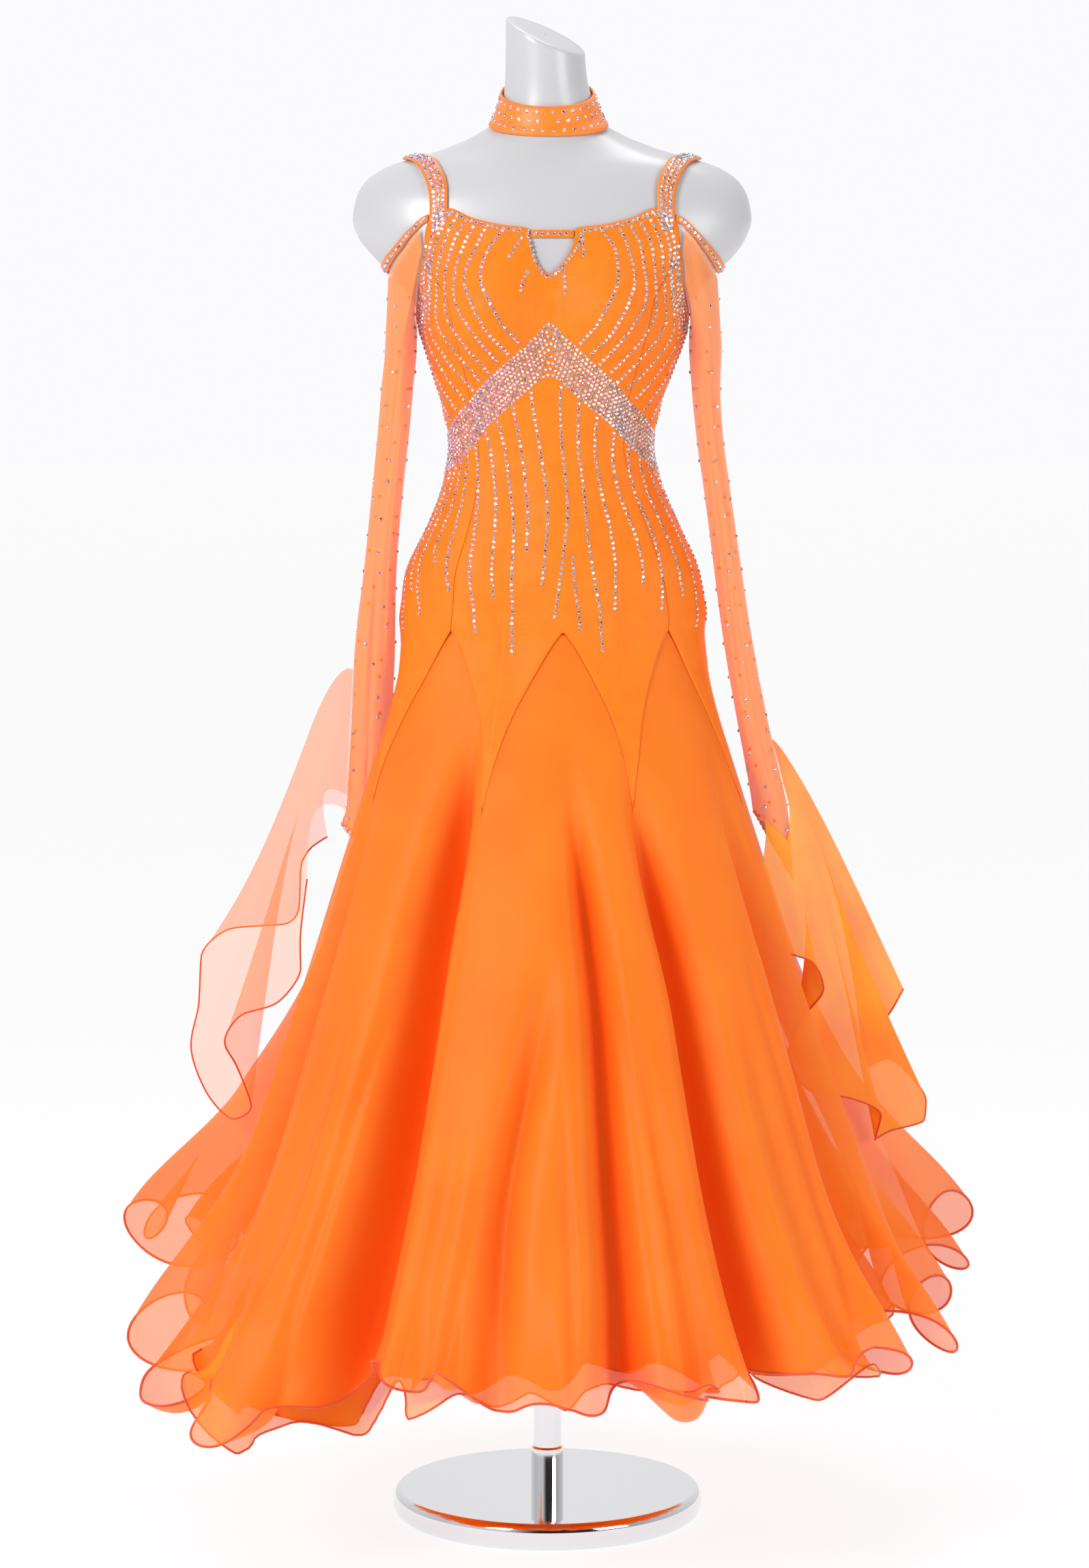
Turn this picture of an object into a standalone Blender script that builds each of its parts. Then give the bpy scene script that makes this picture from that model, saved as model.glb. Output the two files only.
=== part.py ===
# Ballroom dance dress on a limbless dress form with a pole and a round base.
# Metres, Z up. The front faces -Y and the origin is the middle of the base's underside.

import math

import bmesh
import bpy

# Angles are read from the front, in degrees, and grow towards +X.
# A pattern angle plus the twist at its height gives the angle on the body.

AXIS_X = 0.005
FORM_CLEAR = 0.0016
BODICE_WALL = 0.0012
ORGANZA_WALL = 0.0010
SEAM = 0.0005
EDGE_GAP = 0.0012

WAIST_Z = 1.140
ARCH_TOP = 0.950
ARCH_TIP = 0.766
GODET_HALF = 22.5
FINE_FROM = 0.330

BASE_RADIUS = 0.165
BASE_HEIGHT = 0.0275
POLE_RADIUS = 0.015
FORM_BOTTOM = 0.800

# height, middle x, middle y, half width, depth in front, depth behind
FORM = [
    (0.800, 0.000, 0.000, 0.1260, 0.0800, 0.0900),
    (0.850, 0.000, 0.000, 0.1470, 0.0920, 0.1050),
    (0.900, 0.002, 0.000, 0.1555, 0.0970, 0.1130),
    (0.950, 0.002, 0.000, 0.1553, 0.0990, 0.1150),
    (1.003, 0.000, 0.000, 0.1480, 0.0980, 0.1100),
    (1.056, 0.001, 0.000, 0.1280, 0.0900, 0.0950),
    (1.100, 0.000, 0.000, 0.1120, 0.0830, 0.0830),
    (1.140, -0.001, 0.000, 0.1042, 0.0790, 0.0770),
    (1.180, -0.001, 0.000, 0.1110, 0.0820, 0.0810),
    (1.215, 0.000, 0.000, 0.1220, 0.0860, 0.0880),
    (1.252, 0.001, 0.000, 0.1345, 0.0880, 0.0940),
    (1.290, 0.001, 0.000, 0.1460, 0.0880, 0.0990),
    (1.310, 0.001, 0.000, 0.1610, 0.0880, 0.1010),
    (1.324, 0.001, 0.000, 0.1750, 0.0875, 0.1020),
    (1.341, 0.001, 0.001, 0.1915, 0.0870, 0.1020),
    (1.358, 0.000, 0.002, 0.2030, 0.0865, 0.1015),
    (1.375, 0.000, 0.004, 0.2080, 0.0860, 0.1000),
    (1.395, 0.000, 0.006, 0.2050, 0.0840, 0.0960),
    (1.413, 0.000, 0.009, 0.1960, 0.0800, 0.0900),
    (1.430, 0.000, 0.012, 0.1720, 0.0740, 0.0820),
    (1.438, 0.000, 0.013, 0.1460, 0.0700, 0.0770),
    (1.448, -0.001, 0.014, 0.1120, 0.0660, 0.0710),
    (1.463, -0.003, 0.013, 0.0760, 0.0590, 0.0630),
    (1.475, -0.004, 0.011, 0.0580, 0.0550, 0.0585),
    (1.490, -0.004, 0.008, 0.0505, 0.0515, 0.0545),
    (1.517, -0.006, 0.004, 0.0430, 0.0470, 0.0500),
    (1.545, -0.007, 0.001, 0.0412, 0.0450, 0.0470),
    (1.600, -0.007, -0.002, 0.0410, 0.0445, 0.0460),
]
FORM_ROWS = [
    0.800, 0.822, 0.850, 0.885, 0.920, 0.955, 0.990, 1.025, 1.060, 1.095, 1.118, 1.140, 1.162,
    1.190, 1.215, 1.235, 1.255, 1.275, 1.295, 1.310, 1.324, 1.341, 1.358, 1.375, 1.395, 1.413,
    1.424, 1.433, 1.440, 1.448, 1.456, 1.465, 1.475, 1.490, 1.515,
]
FORM_COLUMNS = 32

# The cut across the neck slants down to the viewer's right and to the front.
NECK_CUT = 1.560
NECK_SLOPE_X = -0.43
NECK_SLOPE_Y = 0.25

# Bust mounds: middle x, middle z, spread x, spread z, height
BUST = [
    (-0.068, 1.278, 0.052, 0.050, 0.040),
    (0.068, 1.278, 0.052, 0.050, 0.040),
]

# height of the skirt's ridge line, its half width, and its depth as a share of the width
SKIRT = [
    (0.100, 0.5000, 0.990),
    (0.200, 0.4550, 0.990),
    (0.300, 0.4030, 0.990),
    (0.400, 0.3500, 0.985),
    (0.500, 0.3080, 0.970),
    (0.600, 0.2700, 0.940),
    (0.700, 0.2360, 0.890),
    (0.800, 0.2010, 0.810),
    (0.870, 0.1760, 0.730),
    (0.910, 0.1640, 0.690),
    (0.950, 0.1578, 0.655),
]

# pattern twist: height, degrees
TWIST = [
    (0.30, 2.3),
    (0.77, 2.3),
    (0.95, 4.0),
    (1.06, 3.0),
    (1.20, -1.5),
    (1.31, -1.5),
    (1.36, 0.0),
    (1.60, 0.0),
]

# Valleys between the skirt's folds: angle, half width, depth share, start height,
# height over which the valley grows, lean in degrees from the start to the hem
VALLEYS = [
    (-27.0, 6.5, 0.235, 0.800, 0.22, 1.0),
    (-12.0, 2.6, 0.040, 0.520, 0.20, -1.5),
    (-1.5, 4.2, 0.080, 0.640, 0.30, 0.0),
    (9.6, 3.4, 0.120, 0.600, 0.24, 0.5),
    (23.5, 5.2, 0.185, 0.785, 0.24, 3.0),
    (40.5, 4.6, 0.110, 0.760, 0.30, 1.0),
    (57.0, 4.4, 0.060, 0.620, 0.26, 0.0),
    (88.0, 11.0, 0.185, 0.940, 0.25, 0.0),
    (115.0, 6.0, 0.150, 0.760, 0.28, 2.0),
    (135.0, 5.0, 0.110, 0.740, 0.30, -1.0),
    (151.0, 5.5, 0.140, 0.780, 0.28, 0.0),
    (170.0, 5.0, 0.120, 0.740, 0.28, -2.0),
    (188.0, 5.5, 0.140, 0.760, 0.30, 1.0),
    (207.0, 6.0, 0.150, 0.780, 0.26, 2.0),
    (225.0, 4.6, 0.110, 0.700, 0.28, -1.0),
    (243.0, 6.0, 0.150, 0.760, 0.28, -2.0),
    (268.5, 12.5, 0.300, 0.965, 0.26, 0.0),
    (309.0, 3.6, 0.045, 0.560, 0.26, 0.0),
]

# hem line: angle, height, extra flare as a share of the radius
HEM = [
    (-180, 0.258, 0.02),
    (-150, 0.248, 0.03),
    (-125, 0.250, 0.10),
    (-108, 0.276, 0.20),
    (-97, 0.270, 0.19),
    (-86, 0.232, 0.08),
    (-74, 0.206, -0.03),
    (-62, 0.176, -0.03),
    (-50, 0.150, -0.01),
    (-38, 0.154, 0.00),
    (-27, 0.196, 0.00),
    (-14, 0.206, 0.00),
    (0, 0.216, -0.01),
    (12, 0.210, -0.01),
    (26, 0.206, -0.01),
    (42, 0.200, -0.03),
    (56, 0.204, -0.05),
    (68, 0.212, -0.04),
    (80, 0.232, 0.03),
    (90, 0.240, 0.10),
    (104, 0.284, 0.12),
    (120, 0.254, 0.06),
    (150, 0.248, 0.02),
    (180, 0.258, 0.02),
]
HEM_WAVES = 28
HEM_WAVE = 0.0105
HEM_LIFT = 0.0055

# top edge of the bodice: pattern angle, height (the same on both sides)
TOP_EDGE = [
    (0.0, 1.3172),
    (2.7, 1.3300),
    (5.5, 1.3530),
    (6.6, 1.3612),
    (15.0, 1.3645),
    (23.0, 1.3715),
    (30.8, 1.3832),
    (35.8, 1.3775),
    (38.5, 1.3660),
    (41.0, 1.3500),
    (45.0, 1.3350),
    (56.25, 1.3100),
    (67.5, 1.2940),
    (78.75, 1.2790),
    (90.0, 1.2620),
    (101.25, 1.2790),
    (112.5, 1.2940),
    (123.75, 1.3100),
    (135.0, 1.3350),
    (139.0, 1.3500),
    (142.0, 1.3640),
    (146.25, 1.3740),
    (157.5, 1.3640),
    (168.75, 1.3520),
    (180.0, 1.3470),
]
FRONT_HALF = [0.0, 2.7, 5.5, 6.6, 11.25, 16.9, 22.5, 28.0, 33.0, 38.5, 45.0]
# share of the way from the top edge to the waist, close together over the bust
ROWS_ABOVE = [0.0, 0.10, 0.19, 0.27, 0.34, 0.41, 0.48, 0.56, 0.65, 0.76, 0.88, 1.0]
ROWS_BELOW = 9

# band round the shoulder cap: pattern angle, height of its middle
BAND = [
    (37.0, 1.3745),
    (45.0, 1.3610),
    (53.0, 1.3470),
    (65.0, 1.3340),
    (78.0, 1.3260),
    (90.0, 1.3235),
]
BAND_STEPS = 16
BAND_HALF = 0.0035
BAND_ENDS = (36.9, 38.6)
BAND_WALL = 0.0014
BAND_CLEAR = 0.0011

# sleeve below the armhole: height, middle x from the axis, middle y, half width, half depth
SLEEVE_LEFT = [
    (1.2450, -0.1580, 0.000, 0.0165, 0.0400),
    (1.2000, -0.1620, 0.000, 0.0166, 0.0370),
    (1.1500, -0.1665, 0.000, 0.0165, 0.0340),
    (1.1000, -0.1720, 0.000, 0.0162, 0.0330),
    (1.0500, -0.1770, 0.000, 0.0164, 0.0325),
    (1.0000, -0.1815, 0.001, 0.0175, 0.0320),
    (0.9550, -0.1850, 0.002, 0.0200, 0.0310),
    (0.9100, -0.1875, 0.003, 0.0215, 0.0290),
    (0.8600, -0.1900, 0.004, 0.0210, 0.0265),
    (0.8100, -0.1935, 0.004, 0.0205, 0.0240),
    (0.7600, -0.1975, 0.004, 0.0200, 0.0225),
    (0.7180, -0.2020, 0.005, 0.0200, 0.0215),
]
SLEEVE_RIGHT = [
    (1.2450, 0.1600, 0.000, 0.0170, 0.0420),
    (1.2000, 0.1610, 0.000, 0.0150, 0.0370),
    (1.1500, 0.1650, 0.000, 0.0140, 0.0340),
    (1.1000, 0.1720, 0.000, 0.0138, 0.0330),
    (1.0500, 0.1790, 0.000, 0.0140, 0.0325),
    (1.0000, 0.1860, 0.001, 0.0145, 0.0320),
    (0.9550, 0.1925, 0.002, 0.0150, 0.0310),
    (0.9100, 0.2000, 0.003, 0.0155, 0.0290),
    (0.8600, 0.2095, 0.004, 0.0160, 0.0265),
    (0.8100, 0.2200, 0.004, 0.0170, 0.0240),
    (0.7600, 0.2300, 0.004, 0.0185, 0.0225),
    (0.7150, 0.2350, 0.003, 0.0200, 0.0225),
]
CUFF_SLOPE_LEFT = -1.00
CUFF_SLOPE_RIGHT = -1.75
SLEEVE_COLUMNS = 16
SLEEVE_WALL = 0.0010
SLEEVE_CLEAR = 0.0048

# free edge of each wrist float from its front end round to the elbow: x from the axis, y, z
FLOAT_LEFT_EDGE = [
    (-0.2560, -0.060, 0.690),
    (-0.2640, -0.054, 0.622),
    (-0.2640, -0.047, 0.594),
    (-0.2900, -0.040, 0.556),
    (-0.3290, -0.032, 0.541),
    (-0.3460, -0.024, 0.512),
    (-0.3340, -0.014, 0.484),
    (-0.3200, -0.003, 0.440),
    (-0.3400, 0.008, 0.424),
    (-0.3660, 0.018, 0.446),
    (-0.3860, 0.029, 0.500),
    (-0.3780, 0.040, 0.545),
    (-0.3760, 0.051, 0.592),
    (-0.3420, 0.062, 0.620),
]
FLOAT_RIGHT_EDGE = [
    (0.2460, -0.042, 0.655),
    (0.2500, -0.039, 0.628),
    (0.2750, -0.036, 0.606),
    (0.2880, -0.032, 0.582),
    (0.2800, -0.026, 0.552),
    (0.2980, -0.018, 0.500),
    (0.3330, -0.009, 0.446),
    (0.3720, 0.003, 0.414),
    (0.4060, 0.014, 0.424),
    (0.3880, 0.025, 0.462),
    (0.3560, 0.036, 0.506),
    (0.3780, 0.047, 0.548),
    (0.3480, 0.057, 0.576),
    (0.3160, 0.066, 0.622),
]
# middle of the plain fan that the float's waves swing about: x from the axis, y, z
FLOAT_LEFT_FAN = (-0.372, 0.001, 0.420)
FLOAT_RIGHT_FAN = (0.368, 0.004, 0.420)
FLOAT_ROWS = 7
FLOAT_COLUMNS = 26
FLOAT_WALL = 0.0010

CHOKER_MIDDLE = 1.4915
CHOKER_TILT = 0.33
CHOKER_HALF = 0.0155
CHOKER_WALL = 0.0020
CHOKER_CLEAR = 0.0016

# strap over the shoulder: y, x of its middle from the axis
STRAP = [
    (-0.064, 0.1130),
    (-0.035, 0.1240),
    (0.000, 0.1380),
    (0.030, 0.1400),
    (0.060, 0.1270),
    (0.087, 0.1090),
]
STRAP_STEPS = 18
STRAP_HALF = 0.0070
STRAP_WALL = 0.0014
STRAP_CLEAR = 0.0025
# edge of a strap: distance across from its middle, height of its ends in front and behind
STRAP_EDGES = [
    (-STRAP_HALF, 1.3838, 1.3730),
    (STRAP_HALF, 1.3800, 1.3756),
]
BRIDGE_HALF = 0.0038
BRIDGE_Z = 1.3575

# godet, the pattern angle of its middle, its cells across at the top
GODETS = [
    ("godet_front", 0.0, 12),
    ("godet_front_right", 45.0, 12),
    ("godet_right", 90.0, 10),
    ("godet_back_right", 135.0, 8),
    ("godet_back", 180.0, 8),
    ("godet_back_left", 225.0, 8),
    ("godet_left", 270.0, 10),
    ("godet_front_left", 315.0, 12),
]
GODET_ROWS = 6
HEM_ROWS = 2

UNDER_COLUMNS = 64
UNDER_TOP = 0.720
UNDER_SEWN = 0.0036
# share of the way from the top of the second layer to its hem
UNDER_ROWS = [0.0, 0.22, 0.48, 0.72, 0.87, 1.0]

ORANGE = (0.90, 0.20, 0.03)
ORGANZA = (0.86, 0.15, 0.02)
PEACH = (0.95, 0.55, 0.38)
MATERIALS = {
    "crepe": (ORANGE, 0.60, 0.0),
    "organza": (ORGANZA, 0.55, 0.0),
    "mesh": (PEACH, 0.60, 0.0),
    "stoned": ((0.85, 0.45, 0.32), 0.25, 0.2),
    "form": ((0.62, 0.62, 0.65), 0.30, 0.0),
    "chrome": ((0.75, 0.75, 0.77), 0.08, 1.0),
}


def smooth(value):
    value = min(1.0, max(0.0, value))
    return value * value * (3.0 - 2.0 * value)


def mix(a, b, share):
    return a + (b - a) * share


def curve(table, key, column):
    """Smooth curve through one column of a table whose first column rises."""
    if key <= table[0][0]:
        return table[0][column]
    if key >= table[-1][0]:
        return table[-1][column]
    i = 0
    while table[i + 1][0] < key:
        i += 1

    def slope(k):
        if k == 0 or k == len(table) - 1:
            return 0.0
        before, here, after = table[k - 1], table[k], table[k + 1]
        left = (here[column] - before[column]) / (here[0] - before[0])
        right = (after[column] - here[column]) / (after[0] - here[0])
        return 0.0 if left * right <= 0.0 else 2.0 * left * right / (left + right)

    x0, x1 = table[i][0], table[i + 1][0]
    y0, y1 = table[i][column], table[i + 1][column]
    h = x1 - x0
    s = (key - x0) / h
    return (
        y0 * (1 + 2 * s) * (1 - s) ** 2
        + slope(i) * h * s * (1 - s) ** 2
        + y1 * s * s * (3 - 2 * s)
        + slope(i + 1) * h * s * s * (s - 1)
    )


def straight(table, key, column=1):
    """Straight lines between the rows of a table."""
    if key <= table[0][0]:
        return table[0][column]
    for low, high in zip(table, table[1:]):
        if key <= high[0]:
            return mix(low[column], high[column], (key - low[0]) / (high[0] - low[0]))
    return table[-1][column]


def twist(z):
    return curve(TWIST, z, 1)


def wrap(angle):
    return (angle + 180.0) % 360.0 - 180.0


def form_section(z):
    return [curve(FORM, z, column) for column in range(1, 6)]


def bust(x, z):
    total = 0.0
    for middle_x, middle_z, spread_x, spread_z, height in BUST:
        total += height * math.exp(-(((x - middle_x) / spread_x) ** 2) - ((z - middle_z) / spread_z) ** 2)
    return total


def form_point(angle, z):
    """Surface of the bare dress form."""
    middle_x, middle_y, width, front, back = form_section(z)
    t = math.radians(angle)
    x = width * math.sin(t)
    if math.cos(t) > 0.0:
        y = -front * math.cos(t) - bust(x, z) * smooth(math.cos(t) / 0.45)
    else:
        y = -back * math.cos(t)
    return (AXIS_X + middle_x + x, middle_y + y, z)


def folds(angle, z):
    """Share of the radius left after the valleys between the folds."""
    share = 1.0
    for middle, half, depth, start, grow, lean in VALLEYS:
        amount = smooth((start - z) / grow)
        if amount > 0.0:
            here = middle + lean * smooth((start - z) / max(0.1, start - 0.2))
            offset = wrap(angle - here) / half
            share -= depth * amount * math.exp(-offset * offset)
    return share


def hem_height(angle):
    return curve(HEM, wrap(angle), 1)


def hem_wave(angle, lift=0.0):
    drift = 0.9 * math.sin(math.radians(3.0 * angle) + 0.6) + lift
    return math.sin(math.radians(HEM_WAVES * angle) + drift)


def skirt_point(angle, z):
    """Outer organza layer: flare, folds and the waves along its hem."""
    width = curve(SKIRT, z, 1)
    depth = width * curve(SKIRT, z, 2)
    back = depth * (1.0 + 0.17 * smooth((z - 0.55) / 0.40))
    lower = smooth((0.62 - z) / 0.32)
    share = folds(angle, z) + curve(HEM, wrap(angle), 2) * lower
    near_hem = smooth((hem_height(angle) + 0.13 - z) / 0.13)
    share += HEM_WAVE / width * near_hem * hem_wave(angle)
    t = math.radians(angle)
    reach = depth if math.cos(t) > 0.0 else back
    return (AXIS_X + width * share * math.sin(t), -reach * share * math.cos(t), z)


def dress_base(angle, z):
    """Surface that the bodice and the skirt share."""
    blend = smooth((z - 0.950) / 0.030)
    low = skirt_point(angle, z) if blend < 1.0 else None
    high = form_point(angle, z) if blend > 0.0 else None
    if low is None:
        return high
    if high is None:
        return low
    return tuple(mix(a, b, blend) for a, b in zip(low, high))


def normal_of(surface, angle, z):
    """Outward normal from small steps over a surface."""
    d_angle, d_z = 0.4, 0.002
    a0, a1 = surface(angle - d_angle, z), surface(angle + d_angle, z)
    z0, z1 = surface(angle, z - d_z), surface(angle, z + d_z)
    u = [q - p for p, q in zip(a0, a1)]
    v = [q - p for p, q in zip(z0, z1)]
    n = (
        u[1] * v[2] - u[2] * v[1],
        u[2] * v[0] - u[0] * v[2],
        u[0] * v[1] - u[1] * v[0],
    )
    size = math.sqrt(sum(c * c for c in n)) or 1.0
    n = tuple(c / size for c in n)
    t = math.radians(angle)
    outward = n[0] * math.sin(t) - n[1] * math.cos(t)
    return n if outward > 0.0 else tuple(-c for c in n)


def offset_point(surface, angle, z, out):
    point = surface(angle, z)
    n = normal_of(surface, angle, z)
    return tuple(p + c * out for p, c in zip(point, n))


def arch_height(pattern):
    """Seam between the bodice and a godet, and the tongue tips between godets."""
    step = 2.0 * GODET_HALF
    away = abs((pattern + GODET_HALF) % step - GODET_HALF) / GODET_HALF
    drop = 0.35 * away + 0.65 * away ** 1.6
    return mix(ARCH_TOP, ARCH_TIP, drop)


def seam_height(pattern, columns):
    """Arch seam as straight lines between the columns of the panel above it."""
    for low, high in zip(columns, columns[1:]):
        if low - 1e-6 <= pattern <= high + 1e-6:
            share = (pattern - low) / (high - low)
            return mix(arch_height(low), arch_height(high), share)
    return arch_height(pattern)


def add_material(obj, kind):
    material = bpy.data.materials.new(obj.name + "_material")
    material.use_nodes = True
    shader = material.node_tree.nodes["Principled BSDF"]
    colour, roughness, metallic = MATERIALS[kind]
    shader.inputs["Base Color"].default_value = (*colour, 1.0)
    shader.inputs["Roughness"].default_value = roughness
    shader.inputs["Metallic"].default_value = metallic
    obj.data.materials.append(material)


def add_object(name, kind, verts, faces, sharp=50.0):
    mesh = bpy.data.meshes.new(name)
    mesh.from_pydata([tuple(v) for v in verts], [], faces)
    work = bmesh.new()
    work.from_mesh(mesh)
    bmesh.ops.recalc_face_normals(work, faces=work.faces)
    work.to_mesh(mesh)
    work.free()
    obj = bpy.data.objects.new(name, mesh)
    bpy.context.scene.collection.objects.link(obj)
    mesh.shade_smooth()
    mesh.set_sharp_from_angle(angle=math.radians(sharp))
    add_material(obj, kind)
    return obj


def joined_faces(top, bottom, closed):
    """Faces between two rows of vertex numbers; the lower row may be twice as fine."""
    faces = []
    cells = len(top) if closed else len(top) - 1
    for c in range(cells):
        a, b = top[c], top[(c + 1) % len(top)]
        if len(bottom) == len(top):
            d, e = bottom[c], bottom[(c + 1) % len(bottom)]
            faces += [(a, b, e), (a, e, d)]
        else:
            d, m, e = bottom[2 * c], bottom[2 * c + 1], bottom[(2 * c + 2) % len(bottom)]
            faces += [(a, b, m), (a, m, d), (b, e, m)]
    return faces


def sheet_solid(name, kind, inner, outer, closed=False):
    """Closed wall between two matching sets of rows."""
    verts, numbers = [], []
    for rows in (inner, outer):
        side = []
        for row in rows:
            side.append(list(range(len(verts), len(verts) + len(row))))
            verts.extend(row)
        numbers.append(side)
    faces = []
    for side in numbers:
        for top, bottom in zip(side, side[1:]):
            faces += joined_faces(top, bottom, closed)
    low, high = numbers
    for end in (0, -1):
        faces += joined_faces(low[end], high[end], closed)
    if not closed:
        for end in (0, -1):
            for i in range(len(low) - 1):
                a, b, c, d = low[i][end], low[i + 1][end], high[i + 1][end], high[i][end]
                faces += [(a, b, c), (a, c, d)]
    return add_object(name, kind, verts, faces)


def lathe(name, kind, profile, segments):
    """Solid of revolution about the pole; the profile runs from bottom to top."""
    verts, faces, rings = [], [], []
    for radius, z in profile:
        if radius == 0.0:
            rings.append([len(verts)])
            verts.append((0.0, 0.0, z))
            continue
        rings.append(list(range(len(verts), len(verts) + segments)))
        for k in range(segments):
            t = 2.0 * math.pi * k / segments
            verts.append((radius * math.cos(t), radius * math.sin(t), z))
    for low, high in zip(rings, rings[1:]):
        for k in range(segments):
            n = (k + 1) % segments
            if len(low) == 1:
                faces.append((low[0], high[k], high[n]))
            elif len(high) == 1:
                faces.append((low[k], low[n], high[0]))
            else:
                faces.append((low[k], low[n], high[n], high[k]))
    return add_object(name, kind, verts, faces, sharp=40.0)


def build_stand():
    round_edge = 0.006
    profile = [(0.0, 0.0), (BASE_RADIUS - 0.004, 0.0), (BASE_RADIUS - 0.001, 0.003)]
    profile.append((BASE_RADIUS, 0.010))
    profile.append((BASE_RADIUS, BASE_HEIGHT - round_edge))
    for step in (1, 2, 3):
        t = math.radians(30.0 * step)
        profile.append(
            (BASE_RADIUS - round_edge * (1 - math.cos(t)), BASE_HEIGHT - round_edge * (1 - math.sin(t)))
        )
    profile.append((0.0, BASE_HEIGHT))
    lathe("base_disc", "chrome", profile, 48)
    low, high = BASE_HEIGHT + 0.0003, FORM_BOTTOM - 0.0003
    lathe("pole", "chrome", [(0.0, low), (POLE_RADIUS, low), (POLE_RADIUS, high), (0.0, high)], 20)


def build_form():
    verts, faces, rings = [], [], []
    step = 360.0 / FORM_COLUMNS
    for z in FORM_ROWS:
        rings.append(list(range(len(verts), len(verts) + FORM_COLUMNS)))
        verts.extend(form_point(step * k, z) for k in range(FORM_COLUMNS))
    start = FORM_ROWS[-1]
    for share in (0.5, 1.0):
        ring = []
        for k in range(FORM_COLUMNS):
            x, y, _ = form_point(step * k, 1.545)
            cut = NECK_CUT + NECK_SLOPE_X * (x - AXIS_X) + NECK_SLOPE_Y * y
            z = mix(start, cut, share)
            x, y, _ = form_point(step * k, z)
            ring.append(len(verts))
            verts.append((x, y, z))
        rings.append(ring)
    for low, high in zip(rings, rings[1:]):
        faces += joined_faces(low, high, True)
    for ring, z in ((rings[0], FORM_BOTTOM), (rings[-1], None)):
        xs = [verts[i] for i in ring]
        middle = [sum(p[k] for p in xs) / len(xs) for k in range(3)]
        faces += [(ring[k], ring[(k + 1) % FORM_COLUMNS], len(verts)) for k in range(FORM_COLUMNS)]
        verts.append(middle)
    add_object("dress_form", "form", verts, faces)


def bodice_point(angle, z, out):
    return offset_point(dress_base, angle, z, out)


def bodice_clear(angle, z):
    """Clearance over the form, a little more over the bust and the hip, none on the skirt."""
    front = smooth((math.cos(math.radians(angle)) - 0.3) / 0.3)
    over_bust = math.exp(-(((z - 1.285) / 0.055) ** 2)) * front
    over_hip = math.exp(-(((z - 1.000) / 0.050) ** 2))
    over_back = math.exp(-(((z - 1.335) / 0.050) ** 2)) * smooth(-math.cos(math.radians(angle)) / 0.5)
    near = FORM_CLEAR * smooth((z - 0.945) / 0.030)
    return near + 0.0015 * over_bust + 0.0044 * over_hip + 0.0015 * over_back


def top_height(pattern):
    return straight(TOP_EDGE, abs(wrap(pattern)))


def build_bodice_panel(name, columns):
    inner, outer = [], []
    above = len(ROWS_ABOVE) - 1
    for i in range(above + ROWS_BELOW + 1):
        row_in, row_out = [], []
        for k, pattern in enumerate(columns):
            top = top_height(pattern)
            bottom = seam_height(pattern, columns) + EDGE_GAP / 2
            if i <= above:
                z = mix(top, WAIST_Z, ROWS_ABOVE[i])
            else:
                z = mix(WAIST_Z, bottom, ((i - above) / ROWS_BELOW) ** 1.2)
            angle = pattern + twist(z)
            if k in (0, len(columns) - 1):
                inward = 1.0 if k == 0 else -1.0
                angle += inward * math.degrees(SEAM / 2 / 0.11)
            clear = bodice_clear(angle, z)
            row_in.append(bodice_point(angle, z, clear))
            row_out.append(bodice_point(angle, z, clear + BODICE_WALL))
        inner.append(row_in)
        outer.append(row_out)
    sheet_solid(name, "crepe", inner, outer)


def panel_columns(first):
    return [first + 11.25 * k for k in range(9)]


def build_bodice():
    front = [-c for c in reversed(FRONT_HALF[1:])] + FRONT_HALF
    build_bodice_panel("bodice_front", front)
    build_bodice_panel("bodice_side_right", panel_columns(45.0))
    build_bodice_panel("bodice_side_left", panel_columns(-135.0))
    build_bodice_panel("bodice_back", panel_columns(135.0))
    return front


def build_bridge():
    """Strip that closes the top of the keyhole."""
    inner, outer = [], []
    for dz in (BRIDGE_HALF, -BRIDGE_HALF):
        half = 5.95 + 0.35 * dz / BRIDGE_HALF - 0.30
        rows = []
        for out in (FORM_CLEAR, FORM_CLEAR + BODICE_WALL):
            row = []
            for k in range(7):
                angle = mix(-half, half, k / 6) + twist(BRIDGE_Z)
                row.append(offset_point(form_point, angle, BRIDGE_Z + dz, out))
            rows.append(row)
        inner.append(rows[0])
        outer.append(rows[1])
    sheet_solid("keyhole_bridge", "crepe", inner, outer)


def godet_row(middle, cells, share, part, columns, out):
    """One row of a godet: part 0 runs from the arch to the fine rows, part 1 to the hem."""
    row = []
    for k in range(cells + 1):
        pattern = middle + GODET_HALF * (2.0 * k / cells - 1.0)
        arch = seam_height(wrap_near(pattern, columns), columns) - EDGE_GAP / 2
        twisted = twist(0.6)
        hem = hem_height(pattern + twisted) + HEM_LIFT * hem_wave(pattern + twisted, 1.4)
        z = mix(arch, FINE_FROM, share) if part == 0 else mix(FINE_FROM, hem, share)
        angle = pattern + twist(z)
        if k in (0, cells):
            inward = 1.0 if k == 0 else -1.0
            reach = max(0.14, curve(SKIRT, z, 1) * 0.75)
            angle += inward * math.degrees(SEAM / 2 / reach)
        row.append(offset_point(dress_base, angle, z, out))
    return row


def wrap_near(pattern, columns):
    """Bring a pattern angle into the range that the panel's columns use."""
    while pattern > columns[-1] + 1e-6:
        pattern -= 360.0
    while pattern < columns[0] - 1e-6:
        pattern += 360.0
    return pattern


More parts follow.
